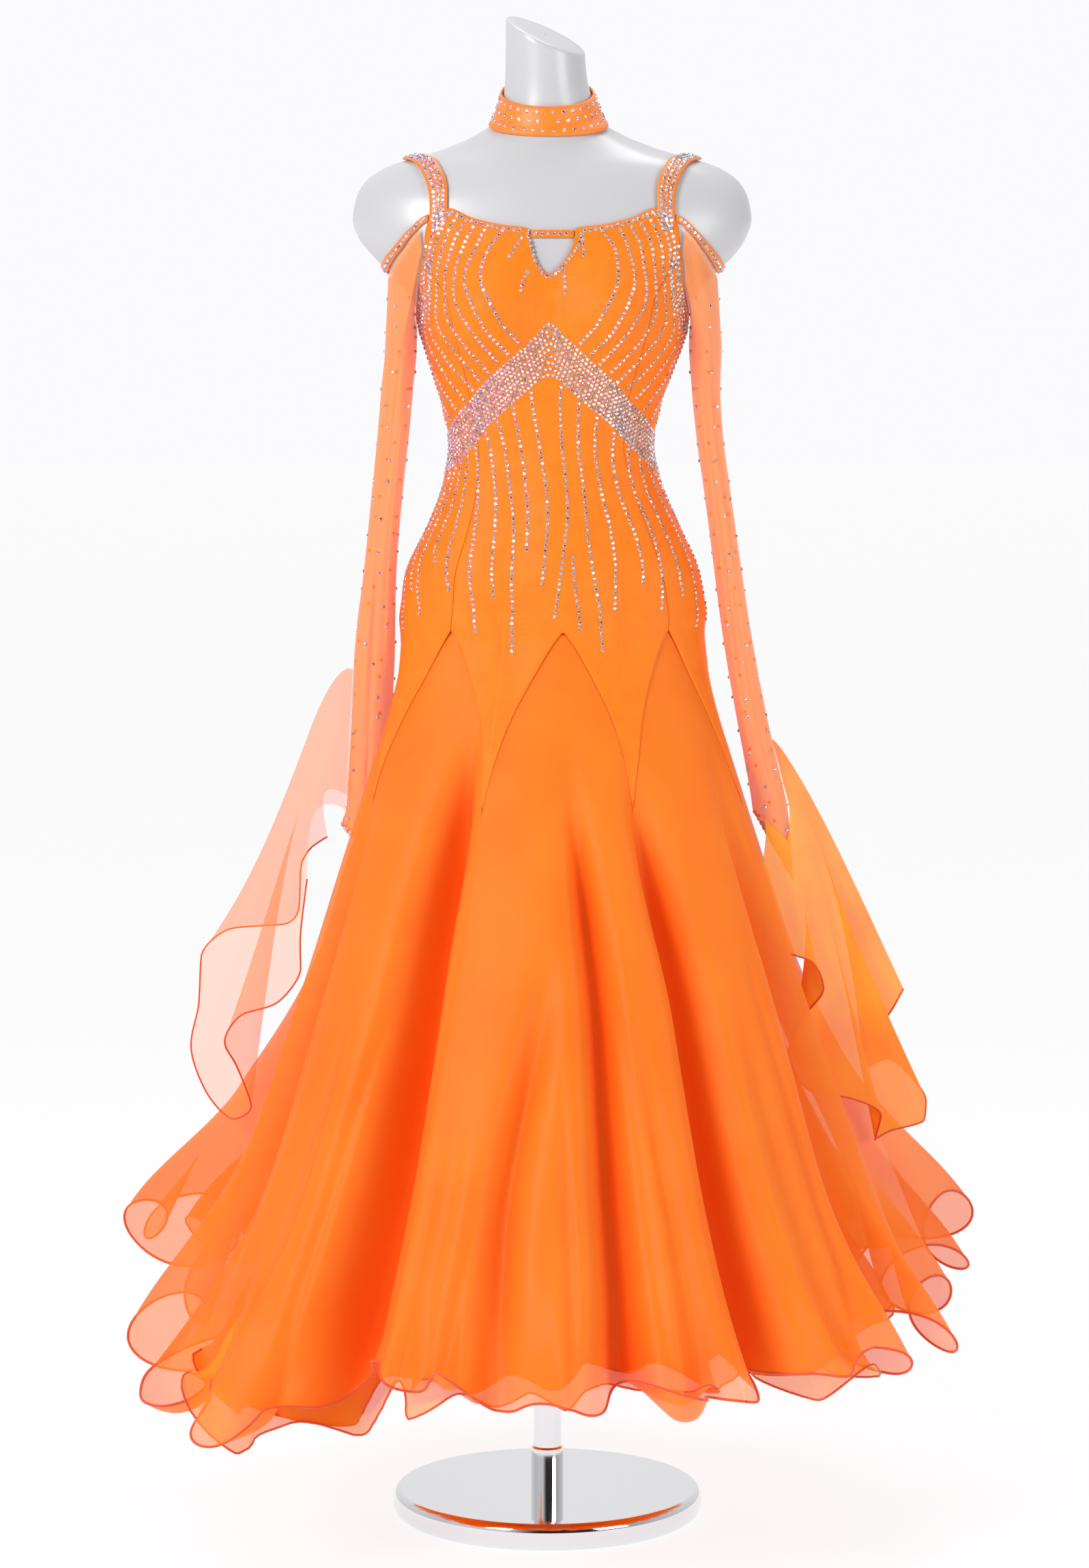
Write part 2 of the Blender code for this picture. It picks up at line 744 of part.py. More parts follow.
def build_skirt(front):
    seams = front + panel_columns(45.0)[1:] + panel_columns(135.0)[1:] + panel_columns(225.0)[1:]
    for name, middle, cells in GODETS:
        sides = []
        for out in (0.0, ORGANZA_WALL):
            rows = [godet_row(middle, cells, i / GODET_ROWS, 0, seams, out) for i in range(GODET_ROWS + 1)]
            for i in range(1, HEM_ROWS + 1):
                rows.append(godet_row(middle, 2 * cells, i / HEM_ROWS, 1, seams, out))
            sides.append(rows)
        sheet_solid(name, "organza", sides[0], sides[1])


def under_point(angle, z, out):
    """Second layer, kept inside the deepest fold near it."""
    near = [skirt_point(angle + 1.5 * k, z) for k in range(-4, 5)]
    radius = min(math.hypot(p[0] - AXIS_X, p[1]) for p in near)
    x, y, _ = skirt_point(angle, z)
    here = math.hypot(x - AXIS_X, y)
    sewn = smooth((math.cos(math.radians(angle - 6.0)) - 0.94) / 0.06)
    sewn *= 1.0 - smooth((UNDER_TOP - z) / 0.08)
    drop = 0.0062 - UNDER_SEWN * sewn + 0.009 * smooth((UNDER_TOP - z) / 0.25)
    share = (min(radius, here) - drop + out) / here
    return (AXIS_X + (x - AXIS_X) * share, y * share, z)


def build_underskirt():
    sides = []
    for out in (0.0, ORGANZA_WALL):
        rows = []
        for share in UNDER_ROWS:
            row = []
            for k in range(UNDER_COLUMNS):
                angle = 360.0 * k / UNDER_COLUMNS
                hem = hem_height(angle) + 0.012 + 0.010 * hem_wave(angle, 2.6)
                row.append(under_point(angle, mix(UNDER_TOP, hem, share), out))
            rows.append(row)
        sides.append(rows)
    sheet_solid("underskirt", "organza", sides[0], sides[1], closed=True)


def build_choker():
    sides = []
    columns = 32
    for out in (CHOKER_CLEAR, CHOKER_CLEAR + CHOKER_WALL):
        rows = []
        for dz in (CHOKER_HALF, 0.0, -CHOKER_HALF):
            row = []
            for k in range(columns):
                angle = 360.0 * k / columns
                y = -0.055 * math.cos(math.radians(angle))
                z = CHOKER_MIDDLE + CHOKER_TILT * y + dz
                row.append(offset_point(form_point, angle, z, out))
            rows.append(row)
        sides.append(rows)
    sheet_solid("choker", "stoned", sides[0], sides[1], closed=True)


def shoulder_height(x, y):
    """Height of the form's shoulder above a point in plan."""
    low, high = 1.360, 1.470
    for _ in range(40):
        z = (low + high) / 2
        middle_x, middle_y, width, front, back = form_section(z)
        dx = (x - AXIS_X - middle_x) / width
        dy = (y - middle_y) / (front if y < middle_y else back)
        if dx * dx + dy * dy < 1.0:
            low = z
        else:
            high = z
    return low


def strap_point(side, y, across, out):
    x = AXIS_X + side * (curve(STRAP, y, 1) + across)

    def surface(px, py):
        return (px, py, shoulder_height(px, py))

    step = 0.002
    base = surface(x, y)
    a, b = surface(x - step, y), surface(x + step, y)
    c, d = surface(x, y - step), surface(x, y + step)
    n = (-(b[2] - a[2]) / (2 * step), -(d[2] - c[2]) / (2 * step), 1.0)
    size = math.sqrt(sum(v * v for v in n))
    return tuple(p + v / size * out for p, v in zip(base, n))


def strap_end(side, across, target):
    """Where the edge of a strap comes down to a height, in front or behind."""
    inside, outside = 0.01, target[0]
    for _ in range(30):
        y = (inside + outside) / 2
        x = AXIS_X + side * (curve(STRAP, y, 1) + across)
        if shoulder_height(x, y) > target[1]:
            inside = y
        else:
            outside = y
    return inside


def build_straps():
    for name, side in (("strap_left", -1.0), ("strap_right", 1.0)):
        ends = []
        for across, front_z, back_z in STRAP_EDGES:
            front = strap_end(side, across, (-0.090, front_z))
            back = strap_end(side, across, (0.110, back_z))
            ends.append((across, front, back))
        sides = []
        for out in (STRAP_CLEAR, STRAP_CLEAR + STRAP_WALL):
            rows = []
            for i in range(STRAP_STEPS + 1):
                share = i / STRAP_STEPS
                row = []
                for across, front, back in ends:
                    row.append(strap_point(side, mix(front, back, share), across, out))
                rows.append(row)
            sides.append(rows)
        sheet_solid(name, "stoned", sides[0], sides[1])


def band_height(angle):
    """Height of the off-shoulder band; the back mirrors the front."""
    mirrored = angle if angle <= 90.0 else 180.0 - angle
    return curve(BAND, mirrored, 1)


def build_bands():
    for name, side in (("shoulder_band_left", -1.0), ("shoulder_band_right", 1.0)):
        sides = []
        for out in (BAND_CLEAR, BAND_CLEAR + BAND_WALL):
            rows = []
            for dz, first in zip((BAND_HALF, -BAND_HALF), BAND_ENDS):
                row = []
                for i in range(BAND_STEPS + 1):
                    angle = mix(first, 180.0 - first, i / BAND_STEPS)
                    z = band_height(angle) + dz
                    row.append(offset_point(form_point, side * angle + twist(z), z, out))
                rows.append(row)
            sides.append(rows)
        sheet_solid(name, "stoned", sides[0], sides[1])


def clear_of_body(point, gap):
    """Move a point straight out until it stands clear of the form and the bodice."""
    x, y, z = point
    middle_x, middle_y, width, front, back = form_section(z)
    dx, dy = x - AXIS_X - middle_x, y - middle_y
    depth = front if dy < 0.0 else back
    inside = math.sqrt((dx / (width + gap)) ** 2 + (dy / (depth + gap)) ** 2)
    if inside >= 1.0 or inside == 0.0:
        return point
    return (AXIS_X + middle_x + dx / inside, middle_y + dy / inside, z)


def armhole_point(side, phi):
    """Top edge of a sleeve: under the band outside, along the armhole inside."""
    turn = abs(wrap(phi))
    back = wrap(phi) < 0.0
    if turn <= 90.0:
        angle = mix(90.0, 41.0, turn / 90.0)
        z = band_height(angle) - BAND_HALF - 0.0026
    else:
        angle = mix(41.0, 90.0, (turn - 90.0) / 90.0)
        z = straight(TOP_EDGE, angle) + 0.0010
        if turn < 135.0:
            z = min(z, band_height(angle) - BAND_HALF - 0.0030)
    if back:
        angle = 180.0 - angle
    return offset_point(form_point, side * angle + twist(z), z, SLEEVE_CLEAR)


def sleeve_rows(side, table, cuff_slope, out):
    top_steps = 2
    rows, tops, grid = [], [], []
    for k in range(SLEEVE_COLUMNS):
        phi = 360.0 * k / SLEEVE_COLUMNS
        tops.append(armhole_point(side, phi))
    for i, (z, middle_x, middle_y, half, depth) in enumerate(table):
        ring = []
        for k in range(SLEEVE_COLUMNS):
            t = math.radians(360.0 * k / SLEEVE_COLUMNS)
            x = AXIS_X + middle_x + side * half * math.cos(t)
            y = middle_y - depth * math.sin(t)
            drop = 0.0
            if i == len(table) - 1:
                drop = cuff_slope * (x - AXIS_X - middle_x)
            ring.append((x, y, z + drop))
        grid.append(ring)
    for i in range(top_steps):
        share = i / top_steps
        row = []
        for k in range(SLEEVE_COLUMNS):
            point = tuple(mix(a, b, share) for a, b in zip(tops[k], grid[0][k]))
            row.append(clear_of_body(point, SLEEVE_CLEAR))
        rows.append(row)
    rows += grid
    return thicken(rows, True, out, side)


def thicken(rows, closed, out, turn=1.0):
    """Move every point of a grid along its normal."""
    result = []
    for i, row in enumerate(rows):
        up, down = rows[max(0, i - 1)], rows[min(len(rows) - 1, i + 1)]
        moved = []
        for k, point in enumerate(row):
            if closed:
                left, right = row[k - 1], row[(k + 1) % len(row)]
            else:
                left, right = row[max(0, k - 1)], row[min(len(row) - 1, k + 1)]
            u = [b - a for a, b in zip(left, right)]
            v = [b - a for a, b in zip(up[k], down[k])]
            n = (
                u[1] * v[2] - u[2] * v[1],
                u[2] * v[0] - u[0] * v[2],
                u[0] * v[1] - u[1] * v[0],
            )
            size = math.sqrt(sum(c * c for c in n)) or 1.0
            moved.append(tuple(p + turn * out * c / size for p, c in zip(point, n)))
        result.append(moved)
    return result


def build_sleeves():
    for name, side, table, slope in (
        ("sleeve_left", -1.0, SLEEVE_LEFT, CUFF_SLOPE_LEFT),
        ("sleeve_right", 1.0, SLEEVE_RIGHT, CUFF_SLOPE_RIGHT),
    ):
        inner = sleeve_rows(side, table, slope, 0.0)
        outer = sleeve_rows(side, table, slope, SLEEVE_WALL)
        sheet_solid(name, "mesh", inner, outer, closed=True)


def sleeve_section(table, z):
    rising = sorted(table)
    return [straight(rising, z, column) for column in range(1, 5)]


def edge_point(edge, share):
    """Point on a smooth line through the rows of an edge table."""
    table = [(k, *row) for k, row in enumerate(edge)]
    return [curve(table, share * (len(edge) - 1), column) for column in (1, 2, 3)]


def fan_point(edge, middle, share):
    """Plain arc from one end of the edge to the other."""
    first, last = edge[0], edge[-1]
    a, b, c = (1 - share) ** 2, 2 * share * (1 - share), share ** 2
    return [p * a + q * b + r * c for p, q, r in zip(first, middle, last)]


def float_rows(side, table, edge, fan, low, high, clear):
    """Rows from the line along the sleeve, between two heights, down to the free edge."""
    rows = []
    for i in range(FLOAT_ROWS + 1):
        share = i / FLOAT_ROWS
        row = []
        for k in range(FLOAT_COLUMNS + 1):
            along = k / FLOAT_COLUMNS
            z = mix(low, high, along)
            middle_x, middle_y, half, depth = sleeve_section(table, z)
            around = mix(-0.45, 0.30, along)
            start = (
                middle_x + side * (half + clear) * math.cos(around),
                middle_y + (depth + clear) * math.sin(around),
                z,
            )
            plain = fan_point(edge, fan, along)
            end = edge_point(edge, along)
            point = []
            for a, b, c in zip(start, plain, end):
                point.append(mix(a, b, share) + (c - b) * share ** 2.4)
            sag = 0.010 * math.sin(math.pi * share)
            row.append((AXIS_X + point[0] + side * sag, point[1], point[2] + sag))
        rows.append(row)
    return rows


def build_floats():
    for name, side, table, edge, fan, low, high, clear in (
        ("float_left", -1.0, SLEEVE_LEFT, FLOAT_LEFT_EDGE, FLOAT_LEFT_FAN, 0.756, 0.905, 0.0018),
        ("float_right", 1.0, SLEEVE_RIGHT, FLOAT_RIGHT_EDGE, FLOAT_RIGHT_FAN, 0.732, 0.815, 0.0021),
    ):
        rows = float_rows(side, table, edge, fan, low, high, clear)
        sheet_solid(name, "organza", rows, thicken(rows, False, FLOAT_WALL))


def main():
    for obj in list(bpy.data.objects):
        bpy.data.objects.remove(obj, do_unlink=True)
    build_stand()
    build_form()
    front = build_bodice()
    build_bridge()
    build_skirt(front)
    build_underskirt()
    build_choker()
    build_straps()
    build_bands()
    build_sleeves()
    build_floats()


main()
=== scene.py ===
# Looks of the ballroom dance dress on its dress form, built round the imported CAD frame.
# Metres, Z up. The front faces -Y and the origin is the middle of the base's underside.
# Angles are read from the front, in degrees, and grow towards +X. A pattern angle plus
# the twist at its height gives the angle on the body.

import math
from functools import partial

import bmesh
import bpy
import numpy as np
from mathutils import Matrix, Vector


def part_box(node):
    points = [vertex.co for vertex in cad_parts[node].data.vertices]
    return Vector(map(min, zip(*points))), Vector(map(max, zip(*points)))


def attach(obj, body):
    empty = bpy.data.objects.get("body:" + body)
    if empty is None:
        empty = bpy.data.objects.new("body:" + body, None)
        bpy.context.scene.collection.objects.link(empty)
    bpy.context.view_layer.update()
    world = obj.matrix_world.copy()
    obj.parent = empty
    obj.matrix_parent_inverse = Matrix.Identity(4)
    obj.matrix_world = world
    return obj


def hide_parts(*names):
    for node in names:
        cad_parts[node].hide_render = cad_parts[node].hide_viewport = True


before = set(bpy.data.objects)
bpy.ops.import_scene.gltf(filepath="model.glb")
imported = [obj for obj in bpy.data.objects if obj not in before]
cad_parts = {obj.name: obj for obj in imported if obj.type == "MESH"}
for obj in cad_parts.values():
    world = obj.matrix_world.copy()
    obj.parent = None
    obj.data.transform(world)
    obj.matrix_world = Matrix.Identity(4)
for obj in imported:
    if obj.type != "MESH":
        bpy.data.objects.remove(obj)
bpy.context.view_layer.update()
rng = np.random.default_rng(7)

# The surfaces that the dress is built on, in the frame's own sizes

AXIS_X = 0.005
FORM_CLEAR = 0.0016
ARCH_TOP = 0.950
ARCH_TIP = 0.766
JOIN_BLEND = 0.030
GODET_HALF = 22.5
FORM_BOTTOM = 0.800
BASE_RADIUS = 0.165
BASE_HEIGHT = 0.0275
POLE_RADIUS = 0.015

# height, middle x, middle y, half width, depth in front, depth behind
FORM = [
    (0.8, 0.0, 0.0, 0.126, 0.08, 0.09), (0.85, 0.0, 0.0, 0.147, 0.092, 0.105),
    (0.9, 0.002, 0.0, 0.1555, 0.097, 0.113), (0.95, 0.002, 0.0, 0.1553, 0.099, 0.115),
    (1.003, 0.0, 0.0, 0.148, 0.098, 0.11), (1.056, 0.001, 0.0, 0.128, 0.09, 0.095),
    (1.1, 0.0, 0.0, 0.112, 0.083, 0.083), (1.14, -0.001, 0.0, 0.1042, 0.079, 0.077),
    (1.18, -0.001, 0.0, 0.111, 0.082, 0.081), (1.215, 0.0, 0.0, 0.122, 0.086, 0.088),
    (1.252, 0.001, 0.0, 0.1345, 0.088, 0.094), (1.29, 0.001, 0.0, 0.146, 0.088, 0.099),
    (1.31, 0.001, 0.0, 0.161, 0.088, 0.101), (1.324, 0.001, 0.0, 0.175, 0.0875, 0.102),
    (1.341, 0.001, 0.001, 0.1915, 0.087, 0.102), (1.358, 0.0, 0.002, 0.203, 0.0865, 0.1015),
    (1.375, 0.0, 0.004, 0.208, 0.086, 0.1), (1.395, 0.0, 0.006, 0.205, 0.084, 0.096),
    (1.413, 0.0, 0.009, 0.196, 0.08, 0.09), (1.43, 0.0, 0.012, 0.172, 0.074, 0.082),
    (1.438, 0.0, 0.013, 0.146, 0.07, 0.077), (1.448, -0.001, 0.014, 0.112, 0.066, 0.071),
    (1.463, -0.003, 0.013, 0.076, 0.059, 0.063), (1.475, -0.004, 0.011, 0.058, 0.055, 0.0585),
    (1.49, -0.004, 0.008, 0.0505, 0.0515, 0.0545), (1.517, -0.006, 0.004, 0.043, 0.047, 0.05),
    (1.545, -0.007, 0.001, 0.0412, 0.045, 0.047), (1.6, -0.007, -0.002, 0.041, 0.0445, 0.046),
]

# The cut across the neck slants down to the viewer's right and to the front.
NECK_CUT = 1.560
NECK_SLOPE_X = -0.43
NECK_SLOPE_Y = 0.25

# bust mounds: middle x, middle z, spread x, spread z, height
BUST = [
    (-0.068, 1.278, 0.052, 0.05, 0.04),
    (0.068, 1.278, 0.052, 0.05, 0.04),
]

# height of the skirt's ridge line, its half width, and its depth as a share of the width
SKIRT = [
    (0.1, 0.5, 0.99), (0.2, 0.455, 0.99), (0.3, 0.403, 0.99), (0.4, 0.35, 0.985), (0.5, 0.308, 0.97),
    (0.6, 0.27, 0.94), (0.7, 0.236, 0.89), (0.8, 0.201, 0.81), (0.87, 0.176, 0.73), (0.91, 0.164, 0.69),
    (0.95, 0.1578, 0.655),
]

# pattern twist: height, degrees
TWIST = [
    (0.3, 2.3), (0.77, 2.3), (0.95, 4.0), (1.06, 3.0), (1.2, -1.5), (1.31, -1.5), (1.36, 0.0),
    (1.6, 0.0),
]

# Valleys between the skirt's folds: angle, half width, depth share, start height,
# height over which the valley grows, lean in degrees from the start to the hem
VALLEYS = [
    (-57.0, 1.5, 0.022, 0.66, 0.24, -2.0), (-47.0, 1.4, 0.024, 0.64, 0.22, -1.0),
    (-38.0, 1.2, 0.02, 0.7, 0.22, -3.0), (-21.5, 1.1, 0.018, 0.72, 0.2, -3.0),
    (-12.5, 1.3, 0.022, 0.5, 0.22, -2.0), (1.8, 1.0, 0.018, 0.56, 0.2, 1.0),
    (12.8, 1.2, 0.02, 0.72, 0.2, 3.0), (36.5, 1.1, 0.018, 0.62, 0.22, 2.0),
    (49.0, 1.5, 0.022, 0.68, 0.24, 2.5), (-27.5, 5.6, 0.27, 0.9, 0.22, -4.5),
    (-17.0, 2.4, 0.03, 0.56, 0.2, -2.0), (-1.0, 3.0, 0.105, 0.66, 0.2, -7.5),
    (5.5, 3.0, 0.17, 0.85, 0.2, 5.0), (17.5, 2.2, 0.04, 0.64, 0.22, 3.0),
    (24.0, 4.2, 0.215, 0.86, 0.22, 8.0), (43.0, 3.0, 0.045, 0.64, 0.3, 2.0),
    (59.0, 4.6, 0.16, 0.86, 0.26, 4.0), (88.0, 9.5, 0.2, 0.94, 0.25, 0.0),
    (115.0, 6.0, 0.15, 0.76, 0.28, 2.0), (135.0, 5.0, 0.11, 0.74, 0.3, -1.0),
    (151.0, 5.5, 0.14, 0.78, 0.28, 0.0), (170.0, 5.0, 0.12, 0.74, 0.28, -2.0),
    (188.0, 5.5, 0.14, 0.76, 0.3, 1.0), (207.0, 6.0, 0.15, 0.78, 0.26, 2.0),
    (225.0, 4.6, 0.11, 0.7, 0.28, -1.0), (243.0, 6.0, 0.15, 0.76, 0.28, -2.0),
    (268.5, 10.5, 0.3, 0.965, 0.26, 0.0), (295.0, 4.4, 0.15, 0.84, 0.26, -1.0),
]

# hem line: angle, height, extra flare as a share of the radius
HEM = [
    (-180, 0.258, 0.02), (-150, 0.248, 0.03), (-125, 0.25, 0.1), (-108, 0.276, 0.2), (-97, 0.27, 0.19),
    (-86, 0.234, 0.08), (-74, 0.212, -0.02), (-62, 0.192, -0.02), (-53, 0.176, -0.03),
    (-46, 0.154, -0.02), (-37, 0.15, 0.0), (-30, 0.18, 0.0), (-24, 0.2, 0.0), (-14, 0.206, 0.0),
    (0, 0.216, -0.01), (12, 0.21, -0.01), (26, 0.206, -0.01), (42, 0.2, -0.03), (56, 0.204, -0.05),
    (68, 0.212, -0.04), (80, 0.232, 0.03), (90, 0.24, 0.1), (104, 0.284, 0.12), (120, 0.254, 0.06),
    (150, 0.248, 0.02), (180, 0.258, 0.02),
]
HEM_WAVES = 28
HEM_WAVE = 0.0105
WAVE_REACH = 0.13
FLARE_TOP = 0.62
BACK_FULLNESS = 0.17
LEAN_REACH = 0.30

# how much higher the outer layer's hem hangs than the layers under it: angle, metres
HEM_LIFT = [
    (-180, 0.01), (-110, 0.014), (-80, 0.01), (-56, 0.004), (-36, 0.03), (-25, 0.04), (-14, 0.02),
    (-8, 0.002), (8, 0.0), (28, 0.004), (38, 0.02), (46, 0.026), (58, 0.014), (75, 0.012), (110, 0.016),
    (180, 0.01),
]

# rolls where the hem turns out and up: angle, half width, reach out, lift
ROLLS = [
    (-56.0, 4.0, 0.014, 0.055), (-41.0, 3.0, 0.012, 0.05), (-29.0, 4.0, 0.014, 0.045),
    (-13.5, 2.8, 0.02, 0.07), (3.0, 3.0, 0.008, 0.02), (15.5, 5.2, 0.021, 0.085),
    (31.0, 3.4, 0.014, 0.045), (47.0, 4.2, 0.014, 0.05), (140.0, 5.0, 0.018, 0.05),
    (172.0, 5.0, 0.016, 0.045), (206.0, 5.0, 0.02, 0.05), (238.0, 5.0, 0.022, 0.06),
]

# top edge of the bodice: pattern angle, height (the same on both sides)
TOP_EDGE = [
    (0.0, 1.3165), (1.5, 1.3182), (3.0, 1.3225), (4.3, 1.3285), (5.4, 1.336), (6.1, 1.344),
    (6.5, 1.353), (6.7, 1.363), (15.0, 1.3672), (23.0, 1.3742), (30.8, 1.3842), (35.8, 1.3775),
    (38.5, 1.366), (41.0, 1.35), (45.0, 1.335), (56.25, 1.31), (67.5, 1.294), (78.75, 1.279),
    (90.0, 1.262), (101.25, 1.279), (112.5, 1.294), (123.75, 1.31), (135.0, 1.335), (139.0, 1.35),
    (142.0, 1.364), (146.25, 1.374), (157.5, 1.364), (168.75, 1.352), (180.0, 1.347),
]

# band round the shoulder cap: pattern angle, height of its middle
BAND = [
    (37.0, 1.3745), (45.0, 1.361), (53.0, 1.347), (65.0, 1.334), (78.0, 1.326), (90.0, 1.3235),
]
BAND_HALF = 0.0035
BAND_CLEAR = 0.0011

# sleeve below the armhole: height, middle x from the axis, middle y, half width, half depth
SLEEVE_LEFT = [
    (1.245, -0.158, 0.0, 0.0165, 0.04), (1.2, -0.162, 0.0, 0.0166, 0.037),
    (1.15, -0.1665, 0.0, 0.0165, 0.034), (1.1, -0.172, 0.0, 0.0162, 0.033),
    (1.05, -0.177, 0.0, 0.0164, 0.0325), (1.0, -0.1815, 0.001, 0.0175, 0.032),
    (0.955, -0.185, 0.002, 0.02, 0.031), (0.91, -0.1875, 0.003, 0.0215, 0.029),
    (0.86, -0.19, 0.004, 0.021, 0.0265), (0.81, -0.1935, 0.004, 0.0205, 0.024),
    (0.76, -0.1975, 0.004, 0.02, 0.0225), (0.718, -0.202, 0.005, 0.02, 0.0215),
]
SLEEVE_RIGHT = [
    (1.245, 0.16, 0.0, 0.017, 0.042), (1.2, 0.161, 0.0, 0.015, 0.037), (1.15, 0.165, 0.0, 0.014, 0.034),
    (1.1, 0.172, 0.0, 0.0138, 0.033), (1.05, 0.179, 0.0, 0.014, 0.0325),
    (1.0, 0.186, 0.001, 0.0145, 0.032), (0.955, 0.1925, 0.002, 0.015, 0.031),
    (0.91, 0.2, 0.003, 0.0155, 0.029), (0.86, 0.2095, 0.004, 0.016, 0.0265),
    (0.81, 0.22, 0.004, 0.017, 0.024), (0.76, 0.23, 0.004, 0.0185, 0.0225),
    (0.715, 0.235, 0.003, 0.02, 0.0225),
]
CUFF_SLOPE_LEFT = -1.00
CUFF_SLOPE_RIGHT = -1.75
SLEEVE_CLEAR = 0.0048

# free edge of each wrist float from its front end round to the elbow: x from the axis, y, z
FLOAT_LEFT_EDGE = [
    (-0.256, -0.06, 0.69), (-0.264, -0.054, 0.622), (-0.264, -0.047, 0.594), (-0.29, -0.04, 0.556),
    (-0.329, -0.032, 0.541), (-0.346, -0.024, 0.512), (-0.334, -0.014, 0.484), (-0.32, -0.003, 0.44),
    (-0.34, 0.008, 0.424), (-0.366, 0.018, 0.446), (-0.386, 0.029, 0.5), (-0.378, 0.04, 0.545),
    (-0.376, 0.051, 0.592), (-0.342, 0.06, 0.622), (-0.286, 0.066, 0.626), (-0.272, 0.066, 0.642),
    (-0.269, 0.062, 0.688), (-0.259, 0.056, 0.708), (-0.24, 0.048, 0.722),
]
FLOAT_RIGHT_EDGE = [
    (0.215, -0.047, 0.672), (0.222, -0.048, 0.638), (0.244, -0.046, 0.612), (0.274, -0.042, 0.599),
    (0.2857, -0.038, 0.571), (0.266, -0.033, 0.54), (0.25, -0.026, 0.5), (0.275, -0.018, 0.458),
    (0.318, -0.01, 0.449), (0.35, -0.003, 0.43), (0.344, 0.004, 0.402), (0.36, 0.011, 0.41),
    (0.3975, 0.018, 0.421), (0.4, 0.025, 0.441), (0.38, 0.032, 0.47), (0.359, 0.038, 0.484),
    (0.334, 0.044, 0.47), (0.337, 0.05, 0.498), (0.364, 0.056, 0.532), (0.378, 0.062, 0.556),
]
# middle of the plain fan that the float's waves swing about: x from the axis, y, z
FLOAT_LEFT_FAN = (-0.372, 0.001, 0.420)
FLOAT_RIGHT_FAN = (0.360, 0.004, 0.400)
# where a float leaves the sleeve: share of its edge, height, turn round the sleeve in radians
FLOAT_LEFT_START = [(0.0, 0.756, -0.45), (0.72, 0.905, 0.25), (1.0, 0.765, 0.8)]
FLOAT_RIGHT_START = [(0.0, 0.752, -2.1), (0.25, 0.724, -0.9), (0.6, 0.775, 0.2), (1.0, 0.83, 0.45)]

CHOKER_MIDDLE = 1.4915
CHOKER_TILT = 0.33
CHOKER_HALF = 0.0155
CHOKER_WALL = 0.0020
CHOKER_CLEAR = 0.0016

# strap over the shoulder: y, x of its middle from the axis
STRAP = [
    (-0.064, 0.116), (-0.045, 0.1245), (-0.028, 0.1335), (-0.008, 0.143), (0.012, 0.1465),
    (0.036, 0.143), (0.06, 0.129), (0.087, 0.109),
]
STRAP_HALF = 0.0088
STRAP_CLEAR = 0.0025
BRIDGE_HALF = 0.0038
BRIDGE_Z = 1.3575


def smooth(value):
    value = np.clip(value, 0.0, 1.0)
    return value * value * (3.0 - 2.0 * value)


def mix(a, b, share):
    return a + (b - a) * share


def curve(table, key, column=1):
    """Smooth line through one column of a table whose first column rises."""
    rows = np.array(table, float)
    xs, ys = rows[:, 0], rows[:, column]
    steps = np.diff(ys) / np.diff(xs)
    left, right = steps[:-1], steps[1:]
    slope = np.zeros(len(xs))
    same = left * right > 0.0
    slope[1:-1][same] = 2.0 * left[same] * right[same] / (left + right)[same]
    key = np.clip(np.asarray(key, float), xs[0], xs[-1])
    i = np.clip(np.searchsorted(xs, key, side="right") - 1, 0, len(xs) - 2)
    h = xs[i + 1] - xs[i]
    s = (key - xs[i]) / h
    return (
        ys[i] * (1 + 2 * s) * (1 - s) ** 2
        + slope[i] * h * s * (1 - s) ** 2
        + ys[i + 1] * s * s * (3 - 2 * s)
        + slope[i + 1] * h * s * s * (s - 1)
    )


def straight(table, key, column=1):
    rows = np.array(table, float)
    return np.interp(key, rows[:, 0], rows[:, column])


def twist(z):
    return curve(TWIST, z)


def wrap(angle):
    return (np.asarray(angle, float) + 180.0) % 360.0 - 180.0


def form_section(z):
    return [curve(FORM, z, column) for column in range(1, 6)]


def bust(x, z):
    total = 0.0
    for middle_x, middle_z, spread_x, spread_z, height in BUST:
        away = ((x - middle_x) / spread_x) ** 2 + ((z - middle_z) / spread_z) ** 2
        total = total + height * np.exp(-away)
    return total


def form_point(angle, z):
    """Surface of the bare dress form."""
    angle, z = np.broadcast_arrays(np.asarray(angle, float), np.asarray(z, float))
    middle_x, middle_y, width, front, back = form_section(z)
    facing = np.cos(np.radians(angle))
    x = width * np.sin(np.radians(angle))
    ahead = -front * facing - bust(x, z) * smooth(facing / 0.45)
    y = np.where(facing > 0.0, ahead, -back * facing)
    return np.stack([AXIS_X + middle_x + x, middle_y + y, z], axis=-1)


def folds(angle, z):
    """Share of the radius left after the valleys between the folds."""
    share = 1.0
    for middle, half, depth, start, grow, lean in VALLEYS:
        amount = smooth((start - z) / grow)
        here = middle + lean * smooth((start - z) / LEAN_REACH)
        offset = wrap(angle - here) / half
        share = share - depth * amount * np.exp(-offset * offset)
    return share


def hem_height(angle):
    """Height of the plain hem line."""
    return curve(HEM, wrap(angle))


def wave_phase(angle, shift):
    """Phase of the hem's waves, which drift a little round the hem."""
    return np.radians(HEM_WAVES * angle) + (0.9 * np.sin(np.radians(3.0 * angle) + 0.6) + shift)


def hem_wave(angle, shift=0.0):
    """Height of the hem's waves, from minus one to one."""
    return np.sin(wave_phase(angle, shift))


